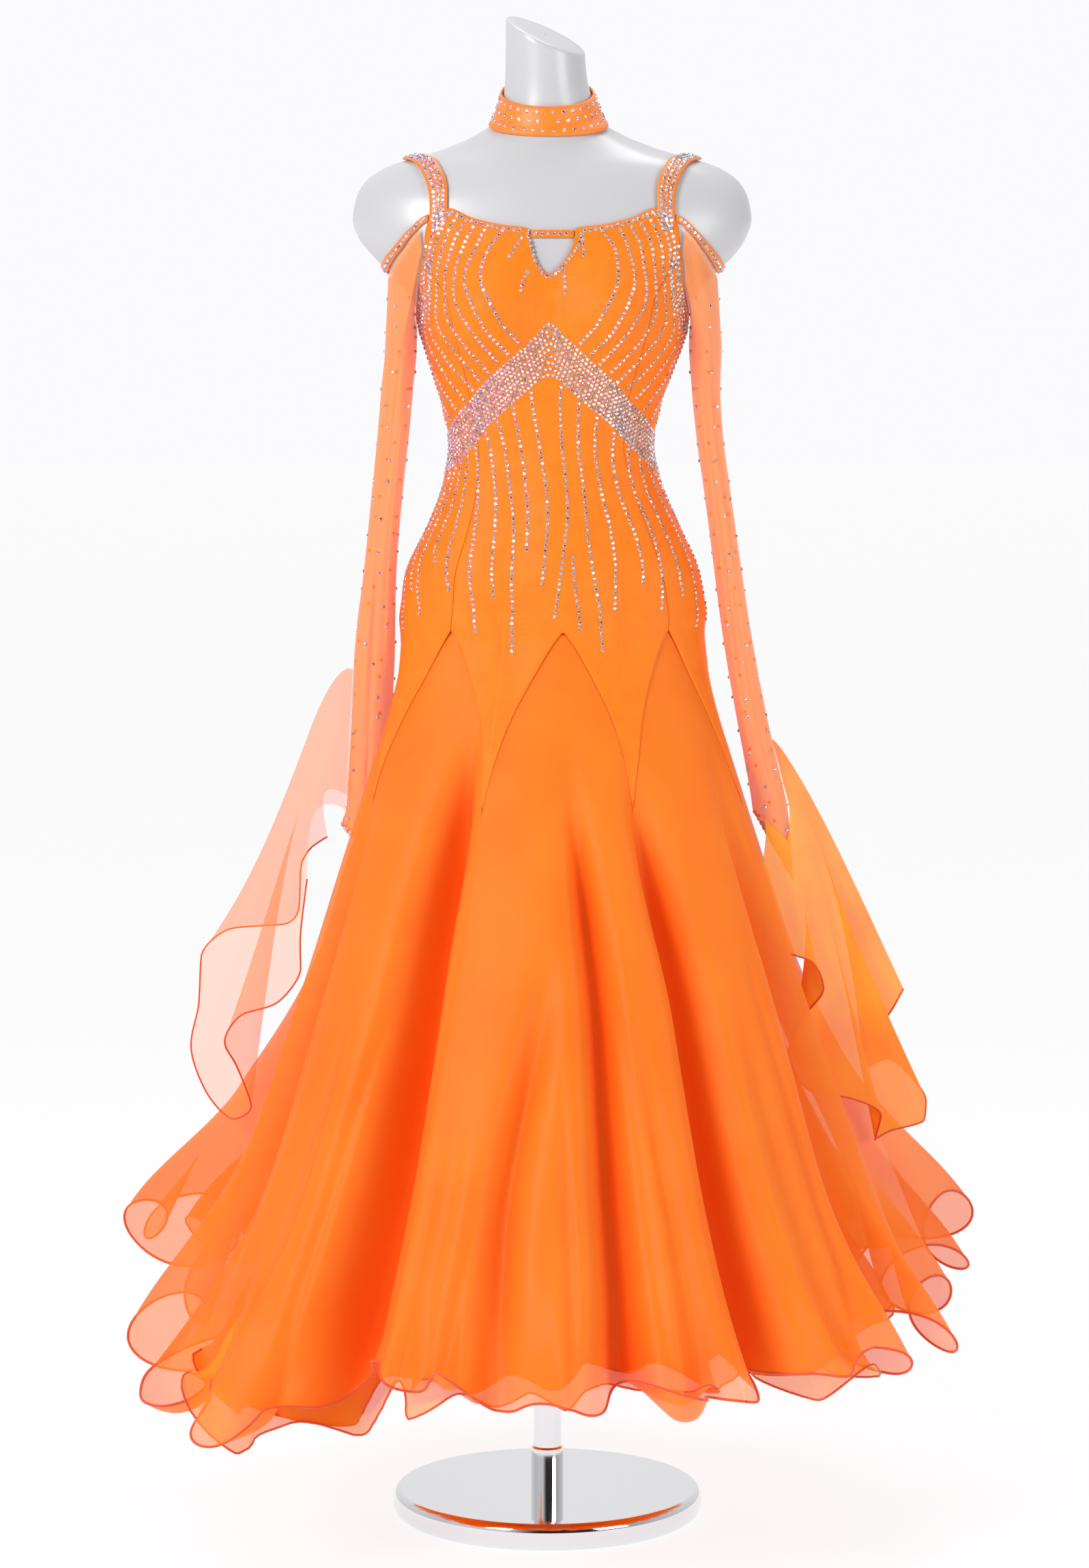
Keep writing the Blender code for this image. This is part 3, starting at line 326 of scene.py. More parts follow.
def skirt_point(angle, z):
    """Outer organza layer: flare, folds and the waves along its hem."""
    angle, z = np.broadcast_arrays(np.asarray(angle, float), np.asarray(z, float))
    width = curve(SKIRT, z, 1)
    depth = width * curve(SKIRT, z, 2)
    back = depth * (1.0 + BACK_FULLNESS * smooth((z - 0.55) / 0.40))
    lower = smooth((FLARE_TOP - z) / 0.32)
    share = folds(angle, z) + curve(HEM, wrap(angle), 2) * lower
    near_hem = smooth((hem_height(angle) + WAVE_REACH - z) / WAVE_REACH)
    share = share + HEM_WAVE / width * near_hem * hem_wave(angle)
    facing = np.cos(np.radians(angle))
    reach = np.where(facing > 0.0, depth, back)
    x = AXIS_X + width * share * np.sin(np.radians(angle))
    return np.stack([x, -reach * share * facing, z], axis=-1)


def dress_base(angle, z):
    """Surface that the bodice and the skirt share."""
    blend = smooth((np.asarray(z, float) - ARCH_TOP) / JOIN_BLEND)
    low, high = skirt_point(angle, z), form_point(angle, z)
    return mix(low, high, np.broadcast_to(blend, low.shape[:-1])[..., None])


def unit(vectors):
    size = np.linalg.norm(vectors, axis=-1, keepdims=True)
    return vectors / np.maximum(size, 1e-12)


def normal_of(surface, angle, z):
    """Outward normals from small steps over a surface."""
    d_angle, d_z = 0.4, 0.002
    u = surface(angle + d_angle, z) - surface(angle - d_angle, z)
    v = surface(angle, z + d_z) - surface(angle, z - d_z)
    n = unit(np.cross(u, v))
    t = np.radians(np.broadcast_to(angle, n.shape[:-1]))
    outward = n[..., 0] * np.sin(t) - n[..., 1] * np.cos(t)
    return np.where(outward[..., None] > 0.0, n, -n)


def offset_point(surface, angle, z, out):
    angle, z = np.broadcast_arrays(np.asarray(angle, float), np.asarray(z, float))
    out = np.broadcast_to(out, angle.shape)
    return surface(angle, z) + normal_of(surface, angle, z) * out[..., None]


def arch_height(pattern):
    """Seam between the bodice and a godet, and the tongue tips between godets."""
    step = 2.0 * GODET_HALF
    away = np.abs((pattern + GODET_HALF) % step - GODET_HALF) / GODET_HALF
    return mix(ARCH_TOP, ARCH_TIP, 0.65 * away ** 1.25 + 0.35 * away ** 9)


def top_height(pattern):
    return curve(TOP_EDGE, np.abs(wrap(pattern)))


# where the bodice stands off further: height, spread, metres
BUST_EASE = (1.285, 0.055, 0.0015)
HIP_EASE = (1.000, 0.050, 0.0044)
BACK_EASE = (1.335, 0.050, 0.0015)


def ease(z, place):
    height, spread, out = place
    return out * np.exp(-(((z - height) / spread) ** 2))


def bodice_clear(angle, z):
    """Clearance over the form, a little more over the bust and the hip, none on the skirt."""
    facing = np.cos(np.radians(angle))
    clear = FORM_CLEAR * smooth((z - ARCH_TOP + 0.005) / JOIN_BLEND)
    clear = clear + ease(z, HIP_EASE) + ease(z, BACK_EASE) * smooth(-facing / 0.5)
    return clear + ease(z, BUST_EASE) * smooth((facing - 0.3) / 0.3)


# Mesh helpers

def grid_faces(rows, columns, closed, first=0):
    index = first + np.arange(rows * columns).reshape(rows, columns)
    if closed:
        index = np.concatenate([index, index[:, :1]], axis=1)
    corners = [index[:-1, :-1], index[1:, :-1], index[1:, 1:], index[:-1, 1:]]
    return np.stack(corners, axis=-1).reshape(-1, 4)


def add_mesh(name, verts, faces, smooth_angle=180.0):
    mesh = bpy.data.meshes.new(name)
    mesh.from_pydata(np.asarray(verts, float).tolist(), [], [list(map(int, f)) for f in faces])
    obj = bpy.data.objects.new(name, mesh)
    bpy.context.scene.collection.objects.link(obj)
    mesh.shade_smooth()
    if smooth_angle < 180.0:
        mesh.set_sharp_from_angle(angle=math.radians(smooth_angle))
    return obj


def cloth_lengths(grid):
    """Metres along the rows and down the columns of a grid, for the weave."""
    across = np.linalg.norm(np.diff(grid, axis=1), axis=-1).mean(axis=0)
    down = np.linalg.norm(np.diff(grid, axis=0), axis=-1).mean(axis=1)
    u = np.concatenate([[0.0], np.cumsum(across)])
    v = np.concatenate([[0.0], np.cumsum(down)])
    return np.meshgrid(u, v)


def grid_object(name, grid, closed=False, smooth_angle=180.0):
    """Sheet from rows of points, with its own lengths in metres as its map."""
    rows, columns = grid.shape[:2]
    if closed:
        grid = np.concatenate([grid, grid[:, :1]], axis=1)
        columns += 1
    obj = add_mesh(name, grid.reshape(-1, 3), grid_faces(rows, columns, False), smooth_angle)
    u, v = cloth_lengths(grid)
    layer = obj.data.uv_layers.new(name="cloth")
    corners = np.zeros(len(obj.data.loops), int)
    obj.data.loops.foreach_get("vertex_index", corners)
    uv = np.stack([u.ravel()[corners], v.ravel()[corners]], axis=-1)
    layer.data.foreach_set("uv", uv.ravel())
    if closed:
        weld(obj)
    return obj


def weld(obj):
    work = bmesh.new()
    work.from_mesh(obj.data)
    bmesh.ops.remove_doubles(work, verts=work.verts, dist=1e-6)
    work.to_mesh(obj.data)
    work.free()


def face_out(obj, inside):
    """Turn the faces so that they look away from a point inside."""
    count = len(obj.data.polygons)
    normals, centres = np.zeros(count * 3), np.zeros(count * 3)
    obj.data.polygons.foreach_get("normal", normals)
    obj.data.polygons.foreach_get("center", centres)
    away = centres.reshape(-1, 3) - np.array(inside)
    if np.sum(normals.reshape(-1, 3) * away) < 0.0:
        obj.data.flip_normals()


def sides_along(points, closed):
    """Two side directions along a line, turning as little as they can."""
    if closed:
        ahead = unit(np.roll(points, -1, 0) - np.roll(points, 1, 0))
    else:
        ahead = unit(np.gradient(points, axis=0))
    side = np.zeros_like(points)
    start = np.array([0.0, 0.0, 1.0]) if abs(ahead[0][2]) < 0.9 else np.array([1.0, 0.0, 0.0])
    side[0] = unit(np.cross(ahead[0], start))
    for i in range(1, len(points)):
        here = side[i - 1] - ahead[i] * np.dot(side[i - 1], ahead[i])
        side[i] = here / max(np.linalg.norm(here), 1e-9)
    return side, np.cross(ahead, side)


CORD_SIDES = 6


def cords(name, lines, radius, material, closed=False):
    """Round hem cords along lines of points."""
    turn = 2.0 * np.pi * np.arange(CORD_SIDES) / CORD_SIDES
    verts, faces, first = [], [], 0
    for points in lines:
        a, b = sides_along(points, closed)
        ring = np.cos(turn)[None, :, None] * a[:, None] + np.sin(turn)[None, :, None] * b[:, None]
        verts.append((points[:, None] + ring * radius).reshape(-1, 3))
        index = first + np.arange(len(points) * CORD_SIDES).reshape(-1, CORD_SIDES)
        index = np.concatenate([index, index[:, :1]], axis=1)
        if closed:
            index = np.concatenate([index, index[:1]], axis=0)
        corners = [index[:-1, :-1], index[:-1, 1:], index[1:, 1:], index[1:, :-1]]
        faces += np.stack(corners, axis=-1).reshape(-1, 4).tolist()
        if not closed:
            faces += [index[0, :-1].tolist(), index[-1, :-1][::-1].tolist()]
        first += len(points) * CORD_SIDES
    dress(add_mesh(name, np.concatenate(verts), faces), material)


def dress(obj, material, replaced=()):
    """Give a piece its finish and tie it to the frame."""
    obj.data.materials.clear()
    obj.data.materials.append(material)
    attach(obj, "root")
    if replaced:
        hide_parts(*replaced)
    return obj


def wall_piece(name, grid, wall, material, closed=False, inside=None):
    """Stretched piece of cloth from the points of its outer face. inside is a point behind it."""
    obj = grid_object(name + "_cloth", grid, closed)
    if inside is not None:
        face_out(obj, inside)
    solidify = obj.modifiers.new("wall", "SOLIDIFY")
    solidify.thickness = wall
    solidify.offset = -1.0
    solidify.use_even_offset = False
    dress(obj, material, (name,))


# Materials

def new_material(name, colour, roughness=0.5, **sockets):
    material = bpy.data.materials.new(name)
    material.use_nodes = True
    shader = material.node_tree.nodes["Principled BSDF"]
    shader.inputs["Base Color"].default_value = (*colour, 1.0)
    shader.inputs["Roughness"].default_value = roughness
    for socket, value in sockets.items():
        shader.inputs[socket.replace("_", " ")].default_value = value
    return material, shader, material.node_tree


def add_node(tree, kind, values=(), **settings):
    """New node with its settings, and values on its own sockets."""
    node = tree.nodes.new("ShaderNode" + kind)
    for setting, value in settings.items():
        setattr(node, setting, value)
    for socket, value in values:
        node.inputs[socket].default_value = value
    return node


def object_noise(tree, scale, detail=2.0):
    noise = add_node(tree, "TexNoise", [("Scale", scale), ("Detail", detail)])
    tree.links.new(add_node(tree, "TexCoord").outputs["Object"], noise.inputs["Vector"])
    return noise


def vary_colour(tree, shader, noise, low, high):
    ramp = add_node(tree, "ValToRGB")
    for element, place, colour in zip(ramp.color_ramp.elements, (0.35, 0.65), (low, high)):
        element.position = place
        element.color = (*colour, 1.0)
    tree.links.new(noise.outputs["Fac"], ramp.inputs["Fac"])
    tree.links.new(ramp.outputs["Color"], shader.inputs["Base Color"])


def add_bump(tree, shader, height, strength, distance):
    bump = add_node(tree, "Bump", [("Strength", strength), ("Distance", distance)])
    tree.links.new(height, bump.inputs["Height"])
    tree.links.new(bump.outputs["Normal"], shader.inputs["Normal"])


def knit_height(tree, pitch):
    """Rows and wales of a fine knit, from the cloth's own lengths."""
    split = add_node(tree, "SeparateXYZ")
    tree.links.new(add_node(tree, "UVMap", uv_map="cloth").outputs["UV"], split.inputs["Vector"])
    product = add_node(tree, "Math", operation="MULTIPLY")
    for k, axis in enumerate("XY"):
        scale = add_node(tree, "Math", [(1, 2.0 * math.pi / pitch)], operation="MULTIPLY")
        wave = add_node(tree, "Math", operation="SINE")
        tree.links.new(split.outputs[axis], scale.inputs[0])
        tree.links.new(scale.outputs["Value"], wave.inputs[0])
        tree.links.new(wave.outputs["Value"], product.inputs[k])
    return product.outputs["Value"]


CREPE = (0.990, 0.215, 0.008)
CREPE_DEEP = (0.980, 0.195, 0.006)
ORGANZA = (0.990, 0.235, 0.018)
ORGANZA_DEEP = (0.980, 0.205, 0.013)
# paler, yellower organza colour: painted light that comes through the sheer plies from behind
SHEER_LIT_THROUGH = (0.990, 0.350, 0.020)
# painted shade: a darker, redder orange for the valleys between the folds
VALLEY_SHADE = (0.930, 0.085, 0.003)
LINING = (0.990, 0.190, 0.008)
CORD = (0.780, 0.075, 0.004)
THROUGH_GLOW = (1.000, 0.200, 0.006)
MESH_PEACH = (0.980, 0.280, 0.040)
FLOAT_PEACH = (0.980, 0.300, 0.060)
FORM_GREY = (0.540, 0.540, 0.560)


def crepe_material():
    material, shader, tree = new_material(
        "stretch crepe", CREPE, 0.45, Sheen_Weight=0.06, Sheen_Roughness=0.4, Specular_IOR_Level=0.22
    )
    vary_colour(tree, shader, object_noise(tree, 60.0, 3.0), CREPE_DEEP, CREPE)
    add_bump(tree, shader, knit_height(tree, 0.0011), 0.25, 0.0002)
    return material


def organza_material(name, alpha, colour=ORGANZA, deep=ORGANZA_DEEP, glow=0.070):
    """Sheer cloth. Its faint glow stands for the light that comes through from behind."""
    material, shader, tree = new_material(
        name, colour, 0.45, Sheen_Weight=0.06, Sheen_Roughness=0.35, Specular_IOR_Level=0.20, Alpha=alpha
    )
    vary_colour(tree, shader, object_noise(tree, 9.0, 3.0), deep, colour)
    add_bump(tree, shader, knit_height(tree, 0.0009), 0.20, 0.00015)
    shader.inputs["Emission Color"].default_value = (*THROUGH_GLOW, 1.0)
    shader.inputs["Emission Strength"].default_value = glow
    return material


def valley_shaded_organza(name, alpha):
    """Organza whose colour deepens in the valleys: partly the crowded plies, partly painted shade in the
    creases.
    """
    material = organza_material(name, alpha)
    tree = material.node_tree
    base = tree.nodes["Principled BSDF"].inputs["Base Color"]
    plain = base.links[0].from_socket
    # the fold attribute carries the share of painted valley shade
    fold = add_node(tree, "VertexColor", layer_name="fold")
    blend = add_node(tree, "Mix", data_type="RGBA")
    blend.inputs[7].default_value = (*VALLEY_SHADE, 1.0)
    tree.links.new(fold.outputs["Color"], blend.inputs[0])
    tree.links.new(plain, blend.inputs[6])
    tree.links.new(blend.outputs[2], base)
    return material


# share of painted valley shade on each point, kept as a colour attribute
def mark_valley_shade(obj, amount):
    layer = obj.data.color_attributes.new("fold", "FLOAT_COLOR", "POINT")
    amount = np.clip(np.asarray(amount, float).ravel(), 0.0, 1.0)
    colours = np.stack([amount, amount, amount, np.ones_like(amount)], axis=-1)
    layer.data.foreach_set("color", colours.ravel())


def plain_cloth(name, colour, roughness):
    material, shader, tree = new_material(name, colour, roughness, Sheen_Weight=0.2)
    add_bump(tree, shader, object_noise(tree, 400.0).outputs["Fac"], 0.3, 0.0003)
    return material


def form_material():
    gloss = {"Coat_Weight": 0.25, "Coat_Roughness": 0.22}
    material, shader, tree = new_material("form shell", FORM_GREY, 0.34, **gloss)
    noise = object_noise(tree, 5.0)
    vary_colour(tree, shader, noise, (0.530, 0.530, 0.550), (0.550, 0.550, 0.570))
    add_bump(tree, shader, noise.outputs["Fac"], 0.06, 0.004)
    return material


def chrome_material():
    material, shader, tree = new_material("chrome", (0.84, 0.84, 0.86), 0.07, Metallic=1.0)
    add_bump(tree, shader, object_noise(tree, 14.0, 3.0).outputs["Fac"], 0.03, 0.002)
    return material


def stone_material():
    """Cut glass: each facet carries its own painted reflection, a light, dark or coloured glint."""
    material, shader, tree = new_material("cut glass", (0.9, 0.9, 0.92), 0.16, Metallic=0.55)
    # the facet attribute holds painted reflections and glints
    reflection_tint = add_node(tree, "VertexColor", layer_name="facet")
    tree.links.new(reflection_tint.outputs["Color"], shader.inputs["Base Color"])
    return material


# Stones

STONE_SIDES = 8
STONE_RADIUS = 0.0022
STONE_HEIGHT = 0.0013
STONE_TILT = 0.10


def painted_facet_reflections(places, faces_each):
    """Painted reflections on the facets: silver highlights, dark reflections and violet-pink glints, with
    more of the pink glints towards -X.
    """
    count = len(places) * faces_each
    # share of painted pink glints, growing towards -X
    warm = np.repeat(0.02 + 0.16 * smooth((0.03 - places[:, 0]) / 0.12), faces_each)
    kind = rng.random(count)
    bright = 0.52 + 0.40 * rng.random(count)
    reflection_tints = np.stack([bright, bright, bright, np.ones(count)], axis=-1)
    dark = kind < 0.30
    reflection_tints[dark, :3] = (0.16 + 0.20 * rng.random((dark.sum(), 1))) * np.array([1.0, 0.92, 0.98])
    for low, high, reflection_tint in (
        (0.30, 0.30 + warm, (0.95, 0.40, 0.72)),
        (0.88, 0.90 + warm * 0.6, (0.55, 0.48, 0.92)),
        (0.52, 0.56, (0.62, 0.86, 0.95)),
    ):
        reflection_tints[(kind > low) & (kind < high), :3] = reflection_tint
    return reflection_tints


def stones(name, places, normals, material, radius=STONE_RADIUS):
    """Low faceted stones, each a table with two rings of crown facets."""
    count = len(places)
    n = unit(unit(normals) + STONE_TILT * rng.normal(size=(count, 3)))
    spin = rng.random(count) * np.pi
    helper = np.where(np.abs(n[:, 2:3]) < 0.9, [[0.0, 0.0, 1.0]], [[1.0, 0.0, 0.0]])
    a = unit(np.cross(n, helper))
    b = np.cross(n, a)
    rings = []
    for size, lift, shift in ((1.0, 0.0, 0.0), (0.93, 0.35, 0.0), (0.55, 1.0, 0.5)):
        turn = 2.0 * np.pi * (np.arange(STONE_SIDES) + shift) / STONE_SIDES
        turn = turn[None, :] + spin[:, None]
        ring = np.cos(turn)[..., None] * a[:, None] + np.sin(turn)[..., None] * b[:, None]
        scale = radius / STONE_RADIUS
        rings.append(places[:, None] + ring * radius * size + n[:, None] * STONE_HEIGHT * lift * scale)
    verts = np.concatenate(rings, axis=1)
    around = [(p, (p + 1) % STONE_SIDES) for p in range(STONE_SIDES)]
    base, top = STONE_SIDES, 2 * STONE_SIDES
    faces = [[p, q, base + q, base + p] for p, q in around]
    for p, q in around:
        faces.append([base + p, base + q, top + p])
        faces.append([base + q, top + q, top + p])
    faces.append([top + p for p in range(STONE_SIDES)])
    all_faces = [[i + s * 3 * STONE_SIDES for i in face] for s in range(count) for face in faces]
    obj = add_mesh(name, verts.reshape(-1, 3), all_faces, 1.0)
    obj.data.shade_flat()
    # painted reflections, one colour for each facet
    layer = obj.data.color_attributes.new("facet", "FLOAT_COLOR", "CORNER")
    sizes = [len(face) for face in all_faces]
    layer.data.foreach_set("color", np.repeat(painted_facet_reflections(places, len(faces)), sizes, axis=0).ravel())
    dress(obj, material)


# Pieces of the dress

CREPE_WALL = 0.0012
SEAM_DIP = 0.0005
SEAM_DIP_HALF = 0.9
SEAM_TURN = 0.10
EDGE_GAP = 0.0004
PANELS = [
    ("bodice_front", -45.0, 45.0), ("bodice_side_right", 45.0, 135.0), ("bodice_back", 135.0, 225.0),
    ("bodice_side_left", -135.0, -45.0),
]


def bodice_place(pattern, z):
    """Point on the outer face of the bodice cloth, drawn in at the seams."""
    pattern, z = np.broadcast_arrays(np.asarray(pattern, float), np.asarray(z, float))
    angle = pattern + twist(z)
    away = np.abs(wrap(pattern))
    from_seam = np.minimum(np.abs(away - 45.0), np.abs(away - 135.0)) / SEAM_DIP_HALF
    dip = SEAM_DIP * np.exp(-from_seam * from_seam)
    return offset_point(dress_base, angle, z, bodice_clear(angle, z) + CREPE_WALL - dip)


def panel_columns(first, last):
    """Even columns, with closer ones at the keyhole."""
    columns = np.arange(first, last + 1e-6, 0.6)
    if first < 0.0 < last:
        half = np.concatenate([np.arange(0.3, 5.3, 0.4), np.arange(5.4, 6.75, 0.1), [7.2]])
        near = np.concatenate([-half[::-1], [0.0], half])
        columns = np.concatenate([columns[columns < -7.3], near, columns[columns > 7.3]])
    return columns


def build_bodice(material):
    share = np.linspace(0.0, 1.0, 70)[:, None]
    for name, first, last in PANELS:
        columns = panel_columns(first, last)
        z = mix(top_height(columns)[None, :], arch_height(columns)[None, :] + EDGE_GAP, share)
        pattern = np.broadcast_to(columns[None, :], z.shape).copy()
        pattern[:, 0] += SEAM_TURN
        pattern[:, -1] -= SEAM_TURN
        wall_piece(name, bodice_place(pattern, z), CREPE_WALL, material)


GODETS = [
    ("godet_front", 0.0), ("godet_front_right", 45.0), ("godet_right", 90.0),
    ("godet_back_right", 135.0), ("godet_back", 180.0), ("godet_back_left", 225.0),
    ("godet_left", 270.0), ("godet_front_left", 315.0),
]
SKIRT_TWIST = 2.3
CURL_REACH = 0.085
# The hem hangs plainest at this angle, and its flutes grow from here to the sides.
PLAIN_ANGLE = 8.0
FLUTE_FRONT = 0.0055
FLUTE_SIDE = 0.0230
FLUTE_BACK_LESS = 0.009
FLUTE_ALONG = 0.34
FLUTE_UP = 0.95


def from_plain(angle):
    return np.abs(wrap(np.asarray(angle) - PLAIN_ANGLE))


def side_share(angle):
    """None in front and all of one at the sides and behind."""
    return smooth((from_plain(angle) - 36.0) / 20.0)


def flute_size(angle):
    """Size of the hem's flutes: small in front, large at the sides."""
    less = FLUTE_BACK_LESS * smooth((from_plain(angle) - 110.0) / 30.0)
    return mix(FLUTE_FRONT, FLUTE_SIDE, side_share(angle)) - less


def hem_curl(angle, depth, shift, share):
    """Flutes of the hem edge: how far it swings out, along and up near the edge."""
    size = flute_size(angle) * share
    fall = smooth(1.0 - depth / (CURL_REACH + 4.5 * size))
    phase = wave_phase(angle, shift)
    along = np.sin(2.0 * phase + 0.6) * FLUTE_ALONG * size * fall
    out = np.sin(phase) * size * fall
    up = np.cos(phase) * size * fall * FLUTE_UP * side_share(angle)
    return out, along, up


def hem_rolls(angle, depth, share, shift):
    """Rolls that turn the edge out and up: how far out, and how much higher."""
    out, up = 0.0, 0.0
    for middle, half, reach, lift in ROLLS:
        away = wrap(angle - middle - shift) / half
        bell = np.exp(-away * away) * share
        edge = np.clip(1.0 - depth / CURL_REACH, 0.0, 1.0)
        out = out + bell * reach * edge ** 1.5
        up = up + bell * lift * edge ** 3
    return out, up


def swing(grid, angle, depth, lift, share, shift=0.0):
    """Move a layer's grid by its flutes and rolls."""
    out, along, sway = hem_curl(angle, depth, lift, share)
    roll, up = hem_rolls(angle, depth, share, shift)
    t = np.radians(angle)
    side = np.stack([np.cos(t), np.sin(t), np.zeros_like(t)], axis=-1)
    outward = np.stack([np.sin(t), -np.cos(t), np.zeros_like(t)], axis=-1)
    moved = grid + outward * (out + roll)[..., None] + side * along[..., None]
    moved[..., 2] += up + sway
    return moved


ROLL_TAKE = 0.62


def roll_drop(angle, share, shift=0.0):
    """Extra length of cloth that a roll takes up, so that its underside keeps the hem's height."""
    return hem_rolls(angle, np.zeros_like(angle), share, shift)[1] * ROLL_TAKE


# how the painted valley shade follows the depth of the valleys
VALLEY_SHALLOW = 0.035
VALLEY_SPAN = 0.150
VALLEY_SIDE_LESS = 0.7


def valley_shade_amount(angle, z):
    """Share of painted valley shade at a point, from how deep it lies in the valleys, and less at the sheer
    sides.
    """
    deep = smooth((1.0 - folds(angle, z) - VALLEY_SHALLOW) / VALLEY_SPAN)
    return deep * (1.0 - VALLEY_SIDE_LESS * side_share(angle))


GODET_SEAM = 0.01
OUTER_WAVE = 0.0055
PLY_WAVE = 0.008
HEM_CORD = 0.0014
PLY_CORD = 0.0011
FLOAT_CORD = 0.0010


def build_skirt(material, cord):
    hems = []
    share = np.linspace(0.0, 1.0, 104)[:, None] ** 0.85
    for name, middle in GODETS:
        half = GODET_HALF - GODET_SEAM
        columns = np.linspace(middle - half, middle + half, 121)
        turn = columns + SKIRT_TWIST
        hem = hem_height(turn) + straight(HEM_LIFT, wrap(turn)) + OUTER_WAVE * hem_wave(turn, 1.4)
        hem = hem - roll_drop(turn, 1.0)
        z = mix(arch_height(columns)[None, :] - EDGE_GAP, hem[None, :], share)
        angle = np.broadcast_to(columns[None, :], z.shape) + twist(z)
        grid = swing(skirt_point(angle, z), angle, z - hem[None, :], 0.0, 1.0)
        obj = dress(grid_object(name + "_cloth", grid), material, (name,))
        # painted shade in the skirt's valleys
        mark_valley_shade(obj, valley_shade_amount(angle, z))
        hems.append(grid[-1])
    cords("hem_cords", hems, HEM_CORD, cord)


def under_point(angle, z, drop):
    """Layer kept inside the deepest fold near it."""
    near = [skirt_point(angle + 1.5 * k, z) for k in range(-3, 4)]
    radius = np.min([np.hypot(p[..., 0] - AXIS_X, p[..., 1]) for p in near], axis=0)
    point = skirt_point(angle, z)
    here = np.hypot(point[..., 0] - AXIS_X, point[..., 1])
    share = (np.minimum(radius, here) - drop) / here
    x = AXIS_X + (point[..., 0] - AXIS_X) * share
    return np.stack([x, point[..., 1] * share, point[..., 2]], axis=-1)


PLY_TOP = 0.948
# plies of the underskirt: name, gap behind the skirt, hem above the hem line, extra draw at the
# sides, lift of its waves, share of the flutes, shift of the rolls
PLIES = [
    ("sheer", 0.0050, 0.000, 0.046, 2.6, 0.80, 2.5),
    ("dense", 0.0095, 0.017, 0.090, 4.4, 0.60, -2.0),
]


def build_under(materials, cord):
    angle = np.arange(0.0, 360.0, 0.75)
    down = np.linspace(0.0, 1.0, 80)[:, None] ** 0.9
    parts, hems = [], []
    for (name, gap, above, draw, lift, share, shift), material in zip(PLIES, materials):
        hem = hem_height(angle) + above + PLY_WAVE * hem_wave(angle, lift) - roll_drop(angle, share, shift)
        z = mix(PLY_TOP, hem[None, :], down)
        turn = np.broadcast_to(angle[None, :], z.shape)
        away = np.abs(wrap(turn))
        at_side = smooth((away - 58.0) / 20.0) * smooth((135.0 - away) / 25.0)
        low = smooth((0.72 - z) / 0.32)
        drop = gap + 0.009 * smooth((0.72 - z) / 0.25) + draw * at_side * low
        place = under_point(turn, z, drop * smooth((0.950 - z) / 0.06))
        place = np.where((z > FORM_BOTTOM)[..., None], clear_of_body(place, 0.0012), place)
        grid = swing(place, turn, z - hem[None, :], lift, share, shift)
        obj = grid_object("underskirt_" + name, grid, True)
        obj.data.materials.append(material)
        parts.append(obj)
        hems.append(grid[-1])
    with bpy.context.temp_override(active_object=parts[0], selected_editable_objects=parts):
        bpy.ops.object.join()
    cloth = parts[0]
    cloth.name = "underskirt_cloth"
    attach(cloth, "root")
    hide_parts("underskirt")
    cords("under_hem_cord", hems, PLY_CORD, cord, closed=True)


NECK_EVEN = 1.515
NECK_TOP = 1.545


def build_form(material):
    """Torso with its underside, the slanted end of the neck and a rounded rim there."""
    angle = np.arange(0.0, 360.0, 2.5)
    body = form_point(angle[None, :], np.linspace(FORM_BOTTOM, NECK_EVEN, 150)[:, None])
    top = form_point(angle, NECK_TOP)
    cut = NECK_CUT + NECK_SLOPE_X * (top[:, 0] - AXIS_X) + NECK_SLOPE_Y * top[:, 1]
    neck = [form_point(angle, mix(NECK_EVEN, cut, share)) for share in np.linspace(0.1, 1.0, 10)]
    last = neck[-1]
    middle = last.mean(axis=0)
    for shrink, lift in ((0.985, 0.0012), (0.95, 0.0020), (0.7, 0.0022), (0.35, 0.0022), (0.02, 0.0022)):
        neck.append(middle + (last - middle) * shrink + np.array([0.0, 0.0, lift]))
    bottom = body[0].mean(axis=0)
    under = [bottom + (body[0] - bottom) * shrink for shrink in (0.02, 0.5, 0.97)]
    obj = grid_object("form_shell", np.concatenate([np.stack(under), body, np.stack(neck)]), True)
    dress(obj, material, ("dress_form",))


def turned(name, profile, segments, material, node):
    """Turned metal piece from radii and heights."""
    turn = 2.0 * np.pi * np.arange(segments) / segments
    ring = np.stack([np.sin(turn), -np.cos(turn), 0.0 * turn], axis=-1)
    grid = np.stack([radius * ring + np.array([0.0, 0.0, z]) for radius, z in profile])
    dress(grid_object(name, grid, True, 35.0), material, (node,))


CENTRE = 0.0005
BASE_EDGE = 0.009
COLLAR_RADIUS = POLE_RADIUS + 0.0022


def build_stand(material):
    profile = [(CENTRE, 0.0), (BASE_RADIUS - 0.006, 0.0), (BASE_RADIUS - 0.002, 0.003), (BASE_RADIUS, 0.008)]
    profile.append((BASE_RADIUS, BASE_HEIGHT - BASE_EDGE))
    for turn in np.radians(np.arange(7.5, 91.0, 7.5)):
        across = BASE_RADIUS - BASE_EDGE * (1.0 - math.cos(turn))
        profile.append((across, BASE_HEIGHT - BASE_EDGE * (1.0 - math.sin(turn))))
    profile += [(BASE_RADIUS - 0.03, BASE_HEIGHT), (CENTRE, BASE_HEIGHT)]
    turned("base_plate", profile, 128, material, "base_disc")
    profile = [(CENTRE, BASE_HEIGHT), (COLLAR_RADIUS, BASE_HEIGHT)]
    profile += [(COLLAR_RADIUS, BASE_HEIGHT + 0.042), (POLE_RADIUS, BASE_HEIGHT + 0.044)]
    profile += [(POLE_RADIUS, FORM_BOTTOM), (CENTRE, FORM_BOTTOM)]
    turned("pole_tube", profile, 64, material, "pole")


